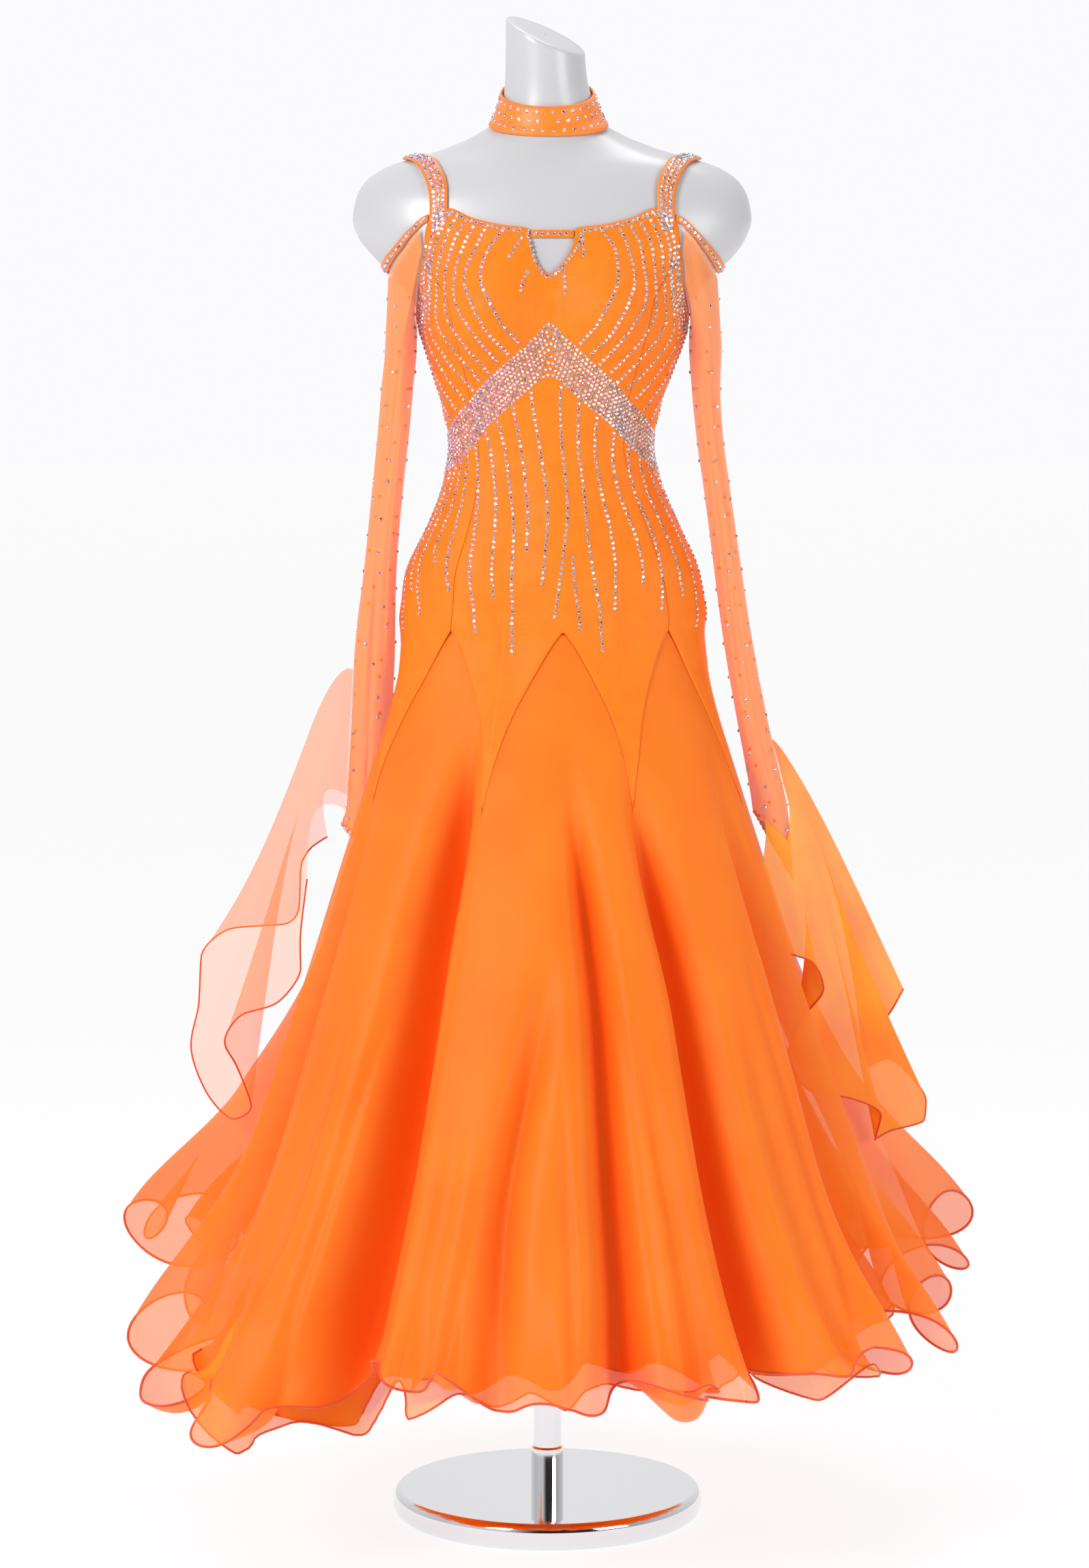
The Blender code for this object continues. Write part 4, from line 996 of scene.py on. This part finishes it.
def choker_place(angle, dz, out):
    y = -0.055 * np.cos(np.radians(angle))
    z = CHOKER_MIDDLE + CHOKER_TILT * y + dz
    return offset_point(form_point, angle, z, CHOKER_CLEAR + CHOKER_WALL + out)


def build_choker(material):
    angle = np.arange(0.0, 360.0, 3.0)[None, :]
    dz = np.linspace(CHOKER_HALF, -CHOKER_HALF, 9)[:, None]
    grid = choker_place(angle, dz + 0.0 * angle, 0.0)
    wall_piece("choker", grid, CHOKER_WALL, material, closed=True)


def shoulder_height(x, y):
    """Height of the form's shoulder above a point, found by halving."""
    low = np.full(np.shape(x), 1.360)
    high = np.full(np.shape(x), 1.470)
    for _ in range(30):
        z = (low + high) / 2
        middle_x, middle_y, width, front, back = form_section(z)
        dx = (x - AXIS_X - middle_x) / width
        dy = (y - middle_y) / np.where(y < middle_y, front, back)
        inside = dx * dx + dy * dy < 1.0
        low = np.where(inside, z, low)
        high = np.where(inside, high, z)
    return low


SIDES = (("left", -1.0), ("right", 1.0))
STRAP_WALL = 0.0014
BAND_WALL = 0.0014


def strap_place(side, y, across, out):
    y, across = np.broadcast_arrays(y, across)
    x = AXIS_X + side * (curve(STRAP, y) + across)
    step = 0.002
    slope_x = shoulder_height(x + step, y) - shoulder_height(x - step, y)
    slope_y = shoulder_height(x, y + step) - shoulder_height(x, y - step)
    n = unit(np.stack([-slope_x, -slope_y, np.full(np.shape(x), 2 * step)], axis=-1))
    return np.stack([x, y, shoulder_height(x, y)], axis=-1) + n * (STRAP_CLEAR + STRAP_WALL + out)


def build_straps(material):
    across = np.linspace(-STRAP_HALF, STRAP_HALF, 6)[None, :]
    for side_name, side in SIDES:
        name = "strap_" + side_name
        low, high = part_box(name)
        y = np.linspace(low.y + 0.001, high.y - 0.001, 60)[:, None]
        grid = strap_place(side, y, across, 0.0)
        inside = (AXIS_X + side * 0.12, 0.01, 1.30)
        wall_piece(name, grid, STRAP_WALL, material, inside=inside)


def band_height(angle):
    """Height of the shoulder band's middle, the same in front and behind."""
    return curve(BAND, np.where(angle <= 90.0, angle, 180.0 - angle))


def band_place(side, angle, dz, out):
    z = band_height(angle) + dz
    return offset_point(form_point, side * angle + twist(z), z, BAND_CLEAR + BAND_WALL + out)


def build_bands(material):
    angle = np.linspace(37.5, 142.5, 90)[None, :]
    dz = np.linspace(BAND_HALF, -BAND_HALF, 4)[:, None]
    for side_name, side in SIDES:
        grid = band_place(side, angle + 0.0 * dz, dz + 0.0 * angle, 0.0)
        inside = (AXIS_X + side * 0.10, 0.0, 1.33)
        name = "shoulder_band_" + side_name
        wall_piece(name, grid, BAND_WALL, material, inside=inside)


def bridge_place(angle, dz, out):
    return offset_point(form_point, angle + twist(BRIDGE_Z), BRIDGE_Z + dz, FORM_CLEAR + CREPE_WALL + out)


def build_bridge(material):
    angle = np.linspace(-6.2, 6.2, 24)[None, :]
    dz = np.linspace(BRIDGE_HALF, -BRIDGE_HALF, 5)[:, None]
    grid = bridge_place(angle + 0.0 * dz, dz + 0.0 * angle, 0.0)
    wall_piece("keyhole_bridge", grid, CREPE_WALL, material)


def clear_of_body(points, gap):
    """Move points straight out until they stand clear of the form and the bodice."""
    x, y, z = points[..., 0], points[..., 1], points[..., 2]
    middle_x, middle_y, width, front, back = form_section(z)
    dx, dy = x - AXIS_X - middle_x, y - middle_y
    depth = np.where(dy < 0.0, front, back)
    inside = np.sqrt((dx / (width + gap)) ** 2 + (dy / (depth + gap)) ** 2)
    inside = np.where((inside >= 1.0) | (inside == 0.0), 1.0, inside)
    return np.stack([AXIS_X + middle_x + dx / inside, middle_y + dy / inside, z], axis=-1)


def armhole_points(side, phi):
    """Top edge of a sleeve: under the band outside, along the armhole inside."""
    turn = np.abs(wrap(phi))
    outer = turn <= 90.0
    angle = np.where(outer, mix(90.0, 41.0, turn / 90.0), mix(41.0, 90.0, (turn - 90.0) / 90.0))
    under_band = band_height(angle) - BAND_HALF
    along = straight(TOP_EDGE, angle) + 0.0010
    along = np.where(turn < 135.0, np.minimum(along, under_band - 0.0030), along)
    z = np.where(outer, under_band - 0.0026, along)
    angle = np.where(wrap(phi) < 0.0, 180.0 - angle, angle)
    return offset_point(form_point, side * angle + twist(z), z, SLEEVE_CLEAR)


SLEEVE_COLUMNS = 96
SLEEVE_ROWS = 150
SLEEVE_ARMHOLE_ROWS = 16


def sleeve_grid(side, table, cuff_slope, creases):
    phi = 360.0 * np.arange(SLEEVE_COLUMNS) / SLEEVE_COLUMNS
    t = np.radians(phi)
    rising = sorted(table)
    tops = armhole_points(side, phi)
    heights = np.linspace(table[0][0], table[-1][0], SLEEVE_ROWS)
    low = table[-2][0]
    body = []
    for z in heights:
        middle_x, middle_y, half, depth = [curve(rising, z, c) for c in range(1, 5)]
        x = AXIS_X + middle_x + side * half * np.cos(t)
        y = middle_y - depth * np.sin(t)
        drop = cuff_slope * (x - AXIS_X - middle_x) * smooth((low - z) / (low - table[-1][0]))
        body.append(np.stack([x, y, z + drop], axis=-1))
    body = np.stack(body)
    upper = []
    for i in range(SLEEVE_ARMHOLE_ROWS):
        points = mix(tops, body[0], i / SLEEVE_ARMHOLE_ROWS)
        upper.append(clear_of_body(points, SLEEVE_CLEAR))
    grid = np.concatenate([np.stack(upper), body])
    return crease_sleeve(grid, phi, creases)


def crease_sleeve(grid, phi, creases):
    """Long soft creases pressed in: angle, half width, depth, top, bottom, lean."""
    middle = grid.mean(axis=1, keepdims=True)
    outward = grid - middle
    outward[..., 2] = 0.0
    outward = unit(outward)
    z = grid[..., 2]
    press = np.zeros(z.shape)
    for around, half, depth, top, bottom, lean in creases:
        along = np.clip((top - z) / (top - bottom), 0.0, 1.0)
        away = wrap(phi[None, :] - around - lean * along) / half
        press += depth * np.exp(-away * away) * smooth(np.sin(np.pi * along) * 1.6)
    return grid - outward * press[..., None]


# sleeve creases: angle round the sleeve, half width, depth, top, bottom, lean
CREASES_LEFT = [
    (62.0, 9.0, 0.003, 1.3, 0.95, 14.0), (95.0, 8.0, 0.0026, 1.26, 0.8, -18.0),
    (120.0, 7.0, -0.002, 1.2, 0.9, 10.0), (40.0, 9.0, -0.002, 1.1, 0.76, -8.0),
    (78.0, 6.0, 0.0022, 1.02, 0.74, 16.0), (-70.0, 10.0, 0.003, 1.28, 0.82, 12.0),
    (-110.0, 9.0, 0.0024, 1.15, 0.76, -10.0),
]
CREASES_RIGHT = [
    (70.0, 9.0, 0.003, 1.29, 0.98, -14.0), (100.0, 8.0, 0.0026, 1.24, 0.86, 16.0),
    (50.0, 8.0, -0.0018, 1.16, 0.84, 10.0), (84.0, 6.0, 0.0022, 1.04, 0.76, -14.0),
    (118.0, 7.0, -0.0018, 1.06, 0.8, 8.0), (-75.0, 10.0, 0.003, 1.28, 0.84, -12.0),
    (-108.0, 9.0, 0.0024, 1.14, 0.78, 10.0),
]
SLEEVES = [
    ("sleeve_left", -1.0, SLEEVE_LEFT, CUFF_SLOPE_LEFT, CREASES_LEFT),
    ("sleeve_right", 1.0, SLEEVE_RIGHT, CUFF_SLOPE_RIGHT, CREASES_RIGHT),
]


def build_sleeves(material):
    grids = {}
    for name, side, table, slope, creases in SLEEVES:
        grid = sleeve_grid(side, table, slope, creases)
        obj = dress(grid_object(name + "_mesh", grid, True), material, (name,))
        grids[name] = grid
    return grids


FLOAT_COLUMNS = 260
FLOAT_ROWS = 70
FLOAT_WAVE_GROWTH = 2.4
FLOAT_SAG = {-1.0: 0.020, 1.0: 0.006}


def edge_points(edge, share):
    table = [(k, *row) for k, row in enumerate(edge)]
    return np.stack([curve(table, share * (len(edge) - 1), c) for c in (1, 2, 3)], axis=-1)


def fan_points(edge, middle, share):
    first, last = np.array(edge[0]), np.array(edge[-1])
    share = share[:, None]
    return first * (1 - share) ** 2 + np.array(middle) * 2 * share * (1 - share) + last * share ** 2


def float_grid(side, table, edge, fan, leaves, clear):
    along = np.linspace(0.0, 1.0, FLOAT_COLUMNS)
    z = straight(leaves, along, 1)
    rising = sorted(table)
    middle_x, middle_y, half, depth = [straight(rising, z, c) for c in range(1, 5)]
    around = straight(leaves, along, 2)
    start_x = middle_x + side * (half + clear) * np.cos(around)
    start_y = middle_y + (depth + clear) * np.sin(around)
    start = np.stack([start_x, start_y, z], axis=-1)
    plain, end = fan_points(edge, fan, along), edge_points(edge, along)
    rows = []
    for share in np.linspace(0.0, 1.0, FLOAT_ROWS):
        point = mix(start, plain, share) + (end - plain) * share ** FLOAT_WAVE_GROWTH
        sag = FLOAT_SAG[side] * math.sin(math.pi * share ** 0.6)
        rows.append(point + np.array([AXIS_X + side * sag, 0.0, sag]))
    return np.stack(rows)


FLOATS = [
    ("float_left", -1.0, SLEEVE_LEFT, FLOAT_LEFT_EDGE, FLOAT_LEFT_FAN, FLOAT_LEFT_START, 0.0018),
    ("float_right", 1.0, SLEEVE_RIGHT, FLOAT_RIGHT_EDGE, FLOAT_RIGHT_FAN, FLOAT_RIGHT_START, 0.0021),
]


def build_floats(materials, cord):
    hems = []
    for (name, side, table, edge, fan, leaves, clear), material in zip(FLOATS, materials):
        grid = float_grid(side, table, edge, fan, leaves, clear)
        obj = dress(grid_object(name + "_cloth", grid), material, (name,))
        hems.append(grid[-1])
    cords("float_cords", hems, FLOAT_CORD, cord)


# Stone rows, laid by formula. Angles are pattern angles and both sides match unless a row says so.

STONE_PITCH = 0.0057
FIELD_PITCH = 0.0050
CHOKER_PITCH = 0.0105
CHOKER_ROWS = (-0.0098, 0.0, 0.0098)
STRAP_ROWS = (-0.0045, 0.0, 0.0045)

# stoned band that crosses under the bust: angle, height of its upper edge, of its lower edge
CHEVRON = [
    (0.0, 1.27, 1.212), (5.0, 1.259, 1.208), (10.0, 1.249, 1.199), (22.0, 1.227, 1.18),
    (38.0, 1.201, 1.158), (47.0, 1.187, 1.143), (58.0, 1.176, 1.129), (72.0, 1.162, 1.116),
    (90.0, 1.153, 1.108), (120.0, 1.15, 1.108), (180.0, 1.15, 1.108),
]
CHEVRON_ROWS = 9

# rows that curve round the bust, five points each from the top edge to the stoned band
BUST_ROWS = [
    ((14.5, 1.3605), (21.0, 1.335), (26.0, 1.302), (21.5, 1.27), (13.6, 1.247)),
    ((18.8, 1.366), (24.5, 1.339), (33.0, 1.302), (29.0, 1.265), (19.3, 1.237)),
    ((22.0, 1.369), (30.0, 1.334), (40.0, 1.292), (35.0, 1.261), (23.8, 1.226)),
    ((25.0, 1.372), (34.0, 1.334), (47.0, 1.283), (42.0, 1.251), (29.6, 1.216)),
    ((27.8, 1.376), (38.0, 1.332), (55.0, 1.274), (48.0, 1.241), (35.2, 1.208)),
    ((30.4, 1.378), (42.0, 1.329), (63.0, 1.266), (56.0, 1.232), (41.2, 1.199)),
    ((33.2, 1.376), (46.5, 1.318), (71.0, 1.258), (64.0, 1.222), (49.0, 1.188)),
    ((44.0, 1.33), (60.0, 1.292), (79.0, 1.25), (74.0, 1.21), (59.0, 1.178)),
    ((60.0, 1.296), (75.0, 1.27), (88.0, 1.238), (84.0, 1.2), (70.0, 1.168)),
    ((80.0, 1.268), (90.0, 1.25), (98.0, 1.224), (96.0, 1.188), (83.0, 1.161)),
]

# rows below the band: start angle, angles at the waist, at the hip and at the end, end height
HIP_ROWS = [
    (-83.0, -84.0, -86.0, -80.0, 0.945), (-73.0, -76.0, -80.0, -73.0, 0.99),
    (-66.0, -68.0, -72.0, -64.0, 0.964), (-60.0, -61.0, -63.0, -58.5, 1.019),
    (-54.0, -54.0, -53.0, -47.0, 0.988), (-47.0, -44.0, -40.0, -33.5, 0.949),
    (-38.0, -33.0, -29.5, -26.7, 0.984), (-29.0, -24.5, -20.4, -18.9, 0.93),
    (-19.0, -15.6, -14.5, -14.0, 1.032), (-9.0, -5.2, -6.4, -7.6, 0.999), (6.0, 5.5, 1.7, -3.6, 0.963),
    (15.8, 14.4, 12.2, 15.0, 0.929), (26.0, 23.8, 23.2, 19.6, 0.969), (37.5, 34.0, 36.0, 33.6, 0.998),
    (48.0, 45.0, 46.5, 40.8, 0.968), (57.0, 55.4, 57.0, 55.0, 0.983), (64.0, 66.5, 70.0, 64.6, 0.949),
    (71.0, 77.0, 84.0, 83.0, 0.953), (81.0, 87.0, 94.0, 94.0, 0.972),
]
HIP_ROW_HEIGHTS = (1.100, 1.040)
BACK_ROW_ANGLES = [102.0 + 9.0 * k for k in range(18)]
SHORT_ROW = [(4.7, 1.027), (5.1, 0.99), (6.2, 0.954)]

# short rows off the corners of the keyhole, from the keyhole outwards
CORNER_ROWS = [
    [(-9.2, 1.353), (-10.9, 1.3443), (-14.1, 1.3307)],
    [(8.6, 1.3575), (9.5, 1.3443), (10.5, 1.3338)],
    [(-7.8, 1.3178), (-10.1, 1.3077), (-12.1, 1.2958)],
    [(4.9, 1.319), (5.8, 1.3086), (6.7, 1.2952)],
]
NECK_ROW_DROP = 0.0042
KEYHOLE_ROW_GAP = 0.0046
KEYHOLE_ROW_END = 6.68
KEYHOLE_ROW_TOP = 1.3600
KEYHOLE_PITCH = 0.0052


def run_length(line):
    """Distance along a line of points, from its first."""
    steps = np.linalg.norm(np.diff(line, axis=0), axis=1)
    return np.concatenate([[0.0], np.cumsum(steps)])


def points_at(line, total, where):
    """Points of a line at given distances along it."""
    return np.stack([np.interp(where, total, column) for column in line.T], axis=-1)


def through(points, count=80):
    """Smooth line through a few points."""
    p = np.array(points, float)
    ends = np.concatenate([[2 * p[0] - p[1]], p, [2 * p[-1] - p[-2]]])
    line = []
    for i in range(len(p) - 1):
        a, b, c, d = ends[i:i + 4]
        for t in np.linspace(0.0, 1.0, count, endpoint=i == len(p) - 2):
            line.append(
                0.5 * (2 * b + (c - a) * t + (2 * a - 5 * b + 4 * c - d) * t ** 2)
                + 0.5 * (3 * b - 3 * c + d - a) * t ** 3
            )
    return np.array(line)


def on_bodice(line, pitch=STONE_PITCH, first=0.0):
    """Evenly spaced places along a line of pattern angles and heights."""
    total = run_length(bodice_place(line[:, 0], line[:, 1]))
    return points_at(line, total, np.arange(first * pitch, total[-1] + 1e-9, pitch))


def chevron_rows():
    rows = []
    angle = np.linspace(0.0, 180.0, 1200)
    high, low = curve(CHEVRON, angle, 1), curve(CHEVRON, angle, 2)
    for k in range(CHEVRON_ROWS):
        z = mix(high, low, (k + 0.5) / CHEVRON_ROWS)
        for side in (-1.0, 1.0):
            first = 0.5 if (k % 2 == 1) != (side > 0.0) else 0.0
            rows.append(on_bodice(np.stack([side * angle, z], axis=-1), FIELD_PITCH, 0.25 + first))
    return rows


def bust_rows():
    sides = [np.array([side, 1.0]) for side in (-1.0, 1.0)]
    return [on_bodice(through(points) * side) for points in BUST_ROWS for side in sides]


def hip_rows():
    rows = []
    for start, waist, hip, end, low in HIP_ROWS:
        high = float(curve(CHEVRON, abs(start), 2)) - 0.004
        points = [(start, high), (waist, HIP_ROW_HEIGHTS[0]), (hip, HIP_ROW_HEIGHTS[1]), (end, low)]
        if high - HIP_ROW_HEIGHTS[0] < 0.012:
            points.pop(1)
        rows.append(on_bodice(through(points)))
    rows.append(on_bodice(through(SHORT_ROW)))
    for k, angle in enumerate(BACK_ROW_ANGLES):
        low = 0.962 + 0.030 * math.sin(1.9 * k) + 0.012 * math.sin(4.1 * k)
        points = [(angle, 1.104), (angle + 1.5 * math.sin(k), HIP_ROW_HEIGHTS[1]), (angle, low)]
        rows.append(on_bodice(through(points)))
    return rows


def back_rows():
    """Rows above the band behind, from near the top edge down."""
    rows = []
    for angle in BACK_ROW_ANGLES:
        top = float(top_height(angle)) - 0.012
        bow = 3.0 * math.sin(math.radians(angle))
        points = [(angle, top), (angle + bow, (top + 1.153) / 2), (angle, 1.154)]
        rows.append(on_bodice(through(points)))
    return rows


def neck_rows():
    """Row under the neckline and armholes, and the row round the keyhole."""
    rows = []
    for side in (-1.0, 1.0):
        for first, last in ((9.4, 37.0), (41.0, 139.0), (143.0, 180.0)):
            angle = np.linspace(first, last, 300)
            line = np.stack([side * angle, top_height(angle) - NECK_ROW_DROP], axis=-1)
            rows.append(on_bodice(line))
    angle = np.linspace(-KEYHOLE_ROW_END, KEYHOLE_ROW_END, 600)
    edge = bodice_place(angle, top_height(angle))
    flat = edge[:, [0, 2]]
    ahead = unit(np.gradient(flat, axis=0))
    away = np.stack([ahead[:, 1], -ahead[:, 0]], axis=-1)
    shifted = flat + away * KEYHOLE_ROW_GAP
    degrees_per_metre = 2.0 * KEYHOLE_ROW_END / (edge[-1, 0] - edge[0, 0])
    pattern = (shifted[:, 0] - flat[300, 0]) * degrees_per_metre + angle[300]
    keep = shifted[:, 1] < KEYHOLE_ROW_TOP
    rows.append(on_bodice(np.stack([pattern, shifted[:, 1]], axis=-1)[keep], KEYHOLE_PITCH))
    return rows


def lay_on_bodice(name, rows, material):
    pattern, z = np.concatenate(rows).T
    normals = normal_of(dress_base, pattern + twist(z), z)
    stones(name, bodice_place(pattern, z), normals, material)


def lay_rows(name, place, along, offsets, pitch, material):
    """Rows of stones on a strip: place(along, offset, out) gives its points."""
    spots, normals = [], []
    for k, offset in enumerate(offsets):
        line = place(along, offset, 0.0)
        total = run_length(line)
        where = np.arange(pitch * (0.5 + 0.5 * (k % 2)), total[-1] - 0.4 * pitch, pitch)
        spots.append(points_at(line, total, where))
        normals.append(points_at(unit(place(along, offset, 0.001) - line), total, where))
    stones(name, np.concatenate(spots), np.concatenate(normals), material)


SLEEVE_STONE_STEP = 0.019
SLEEVE_STONE_TURN = 120.0
SLEEVE_STONE_RADIUS = 0.0020
CUFF_PITCH = 0.0062


def sleeve_stones(name, grid, material):
    """Sparse stones down a sleeve in staggered rows, and a close row round its cuff."""
    middle = grid.mean(axis=1)
    spots, normals = [], []
    heights = middle[:, 2]
    for k in range(int((heights[0] - heights[-1]) / SLEEVE_STONE_STEP)):
        row = int(np.argmin(np.abs(heights - (heights[0] - 0.02 - k * SLEEVE_STONE_STEP))))
        for j in range(3):
            turn = SLEEVE_STONE_TURN * j + 47.5 * k + 24.0 * math.sin(2.3 * k + 1.7 * j)
            column = int(round(turn / 360.0 * SLEEVE_COLUMNS)) % SLEEVE_COLUMNS
            spots.append(grid[row, column])
            normals.append(grid[row, column] - middle[row])
    cuff = np.concatenate([grid[-1], grid[-1][:1]])
    total = run_length(cuff)
    line = points_at(cuff, total, np.arange(0.0, total[-1] - 0.4 * CUFF_PITCH, CUFF_PITCH))
    spots = np.concatenate([np.array(spots), line + np.array([0.0, 0.0, 0.003])])
    out = np.concatenate([np.array(normals), line - middle[-1]])
    out[:, 2] = 0.0
    stones(name, spots + unit(out) * 0.0004, out, material, SLEEVE_STONE_RADIUS)


def build_stones(material, sleeves):
    for name, grid in sleeves.items():
        sleeve_stones("stones_" + name, grid, material)
    lay_on_bodice("stones_band", chevron_rows(), material)
    lay_on_bodice("stones_bust", bust_rows() + back_rows(), material)
    lay_on_bodice("stones_hip", hip_rows(), material)
    corners = [on_bodice(through(points)) for points in CORNER_ROWS]
    lay_on_bodice("stones_neck", neck_rows() + corners, material)
    angle = np.linspace(0.0, 360.0, 400)
    lay_rows("stones_choker", choker_place, angle, CHOKER_ROWS, CHOKER_PITCH, material)
    angle = np.linspace(-5.6, 5.6, 60)
    lay_rows("stones_bridge", bridge_place, angle, (0.0,), CUFF_PITCH, material)
    for name, side in SIDES:
        low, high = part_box("strap_" + name)
        y = np.linspace(low.y + 0.002, high.y - 0.002, 300)
        lay_rows("stones_strap_" + name, partial(strap_place, side), y, STRAP_ROWS, FIELD_PITCH, material)
        angle = np.linspace(38.5, 141.5, 300)
        lay_rows("stones_band_" + name, partial(band_place, side), angle, (-0.0001,), FIELD_PITCH, material)


# The scene

FLOOR = (0.150, 0.150, 0.152)
GLOW = 0.862
FLOOR_HALF = 40.0
BACKDROP = (0.960, 0.960, 0.975)


def build_stage():
    material, shader, tree = new_material("studio paper", FLOOR, 0.9, Specular_IOR_Level=0.1)
    vary_colour(tree, shader, object_noise(tree, 3.0), (0.149, 0.149, 0.151), (0.151, 0.151, 0.153))
    shader.inputs["Emission Color"].default_value = (0.990, 0.990, 1.000, 1.0)
    shader.inputs["Emission Strength"].default_value = GLOW
    line = np.linspace(-FLOOR_HALF, FLOOR_HALF, 9)
    x, y = np.meshgrid(line, line)
    paper = grid_object("paper_floor", np.stack([x, y, 0.0 * x], axis=-1))
    paper.data.materials.append(material)


# soft lights: name, place, point they face, size, power
LIGHTS = [
    ("key", (-2.4, -3.0, 2.7), (0.0, 0.0, 0.9), 1.2, 108.0),
    ("fill", (2.8, -2.4, 1.7), (0.0, 0.0, 0.9), 1.6, 46.0),
    ("top", (0.3, 0.6, 3.6), (0.0, 0.0, 1.0), 1.4, 30.0),
]


def add_lights():
    for name, place, target, size, power in LIGHTS:
        light = bpy.data.lights.new(name, "AREA")
        light.size = size
        light.energy = power
        obj = bpy.data.objects.new(name, light)
        bpy.context.scene.collection.objects.link(obj)
        obj.location = place
        aim = np.array(target) - np.array(place)
        pitch = math.atan2(math.hypot(aim[0], aim[1]), -aim[2])
        obj.rotation_euler = (pitch, 0.0, math.atan2(aim[1], aim[0]) - math.pi / 2)


# brightness of the studio round the dress: share of a turn from -X through -Y, brightness
STUDIO = [
    (0.0, 0.9), (0.06, 1.0), (0.16, 1.0), (0.2, 0.3), (0.225, 0.04), (0.345, 0.04), (0.385, 0.45),
    (0.5, 0.8), (0.75, 1.3), (1.0, 0.9),
]
STUDIO_STRENGTH = 0.66


def build_world():
    """Plain pale backdrop to the camera, and a soft studio to everything else."""
    world = bpy.data.worlds.new("studio")
    bpy.context.scene.world = world
    world.use_nodes = True
    tree = world.node_tree
    turn = add_node(tree, "TexGradient", gradient_type="RADIAL")
    ramp = add_node(tree, "ValToRGB")
    for place, bright in STUDIO[1:-1]:
        ramp.color_ramp.elements.new(place)
    for element, (place, bright) in zip(ramp.color_ramp.elements, STUDIO):
        element.position = place
        element.color = (bright, bright, bright, 1.0)
    studio = tree.nodes["Background"]
    studio.inputs["Strength"].default_value = STUDIO_STRENGTH
    backdrop = add_node(tree, "Background", [("Color", (*BACKDROP, 1.0))])
    blend = add_node(tree, "MixShader")
    tree.links.new(add_node(tree, "TexCoord").outputs["Generated"], turn.inputs["Vector"])
    tree.links.new(turn.outputs["Fac"], ramp.inputs["Fac"])
    tree.links.new(ramp.outputs["Color"], studio.inputs["Color"])
    tree.links.new(add_node(tree, "LightPath").outputs["Is Camera Ray"], blend.inputs["Fac"])
    tree.links.new(studio.outputs["Background"], blend.inputs[1])
    tree.links.new(backdrop.outputs["Background"], blend.inputs[2])
    tree.links.new(blend.outputs["Shader"], tree.nodes["World Output"].inputs["Surface"])


CAMERA_PLACE = (-0.003, -4.6, 1.25)
CAMERA_TILT = 5.79
CAMERA_LENS = 100.53


def build_camera():
    camera = bpy.data.cameras.new("view")
    camera.lens = CAMERA_LENS
    obj = bpy.data.objects.new("view", camera)
    bpy.context.scene.collection.objects.link(obj)
    obj.location = CAMERA_PLACE
    obj.rotation_euler = (math.radians(90.0 - CAMERA_TILT), 0.0, 0.0)
    bpy.context.scene.camera = obj


def main():
    crepe = crepe_material()
    outer = valley_shaded_organza("organza outer", 0.72)
    # the sheer ply wears the organza colour with painted light from behind
    sheer = organza_material("organza sheer", 0.74, SHEER_LIT_THROUGH, ORGANZA)
    dense = organza_material("organza dense", 0.985, LINING, LINING)
    cord = plain_cloth("hem cord", CORD, 0.5)
    sleeve_mesh = organza_material("sleeve mesh", 0.66, MESH_PEACH, MESH_PEACH)
    pale = organza_material("float organza pale", 0.38, FLOAT_PEACH, FLOAT_PEACH)
    # painted light from behind, as on the sheer ply
    full = organza_material("float organza full", 0.92, SHEER_LIT_THROUGH, ORGANZA)
    backing = plain_cloth("stoned backing", CREPE, 0.45)
    glass = stone_material()
    chrome = chrome_material()
    build_stage()
    build_world()
    add_lights()
    build_camera()
    build_stand(chrome)
    build_form(form_material())
    build_bodice(crepe)
    build_bridge(crepe)
    build_skirt(outer, cord)
    build_under((sheer, dense), cord)
    build_choker(backing)
    build_straps(backing)
    build_bands(backing)
    sleeves = build_sleeves(sleeve_mesh)
    build_floats((pale, full), cord)
    build_stones(glass, sleeves)
    bpy.context.scene.view_settings.view_transform = "Standard"


main()
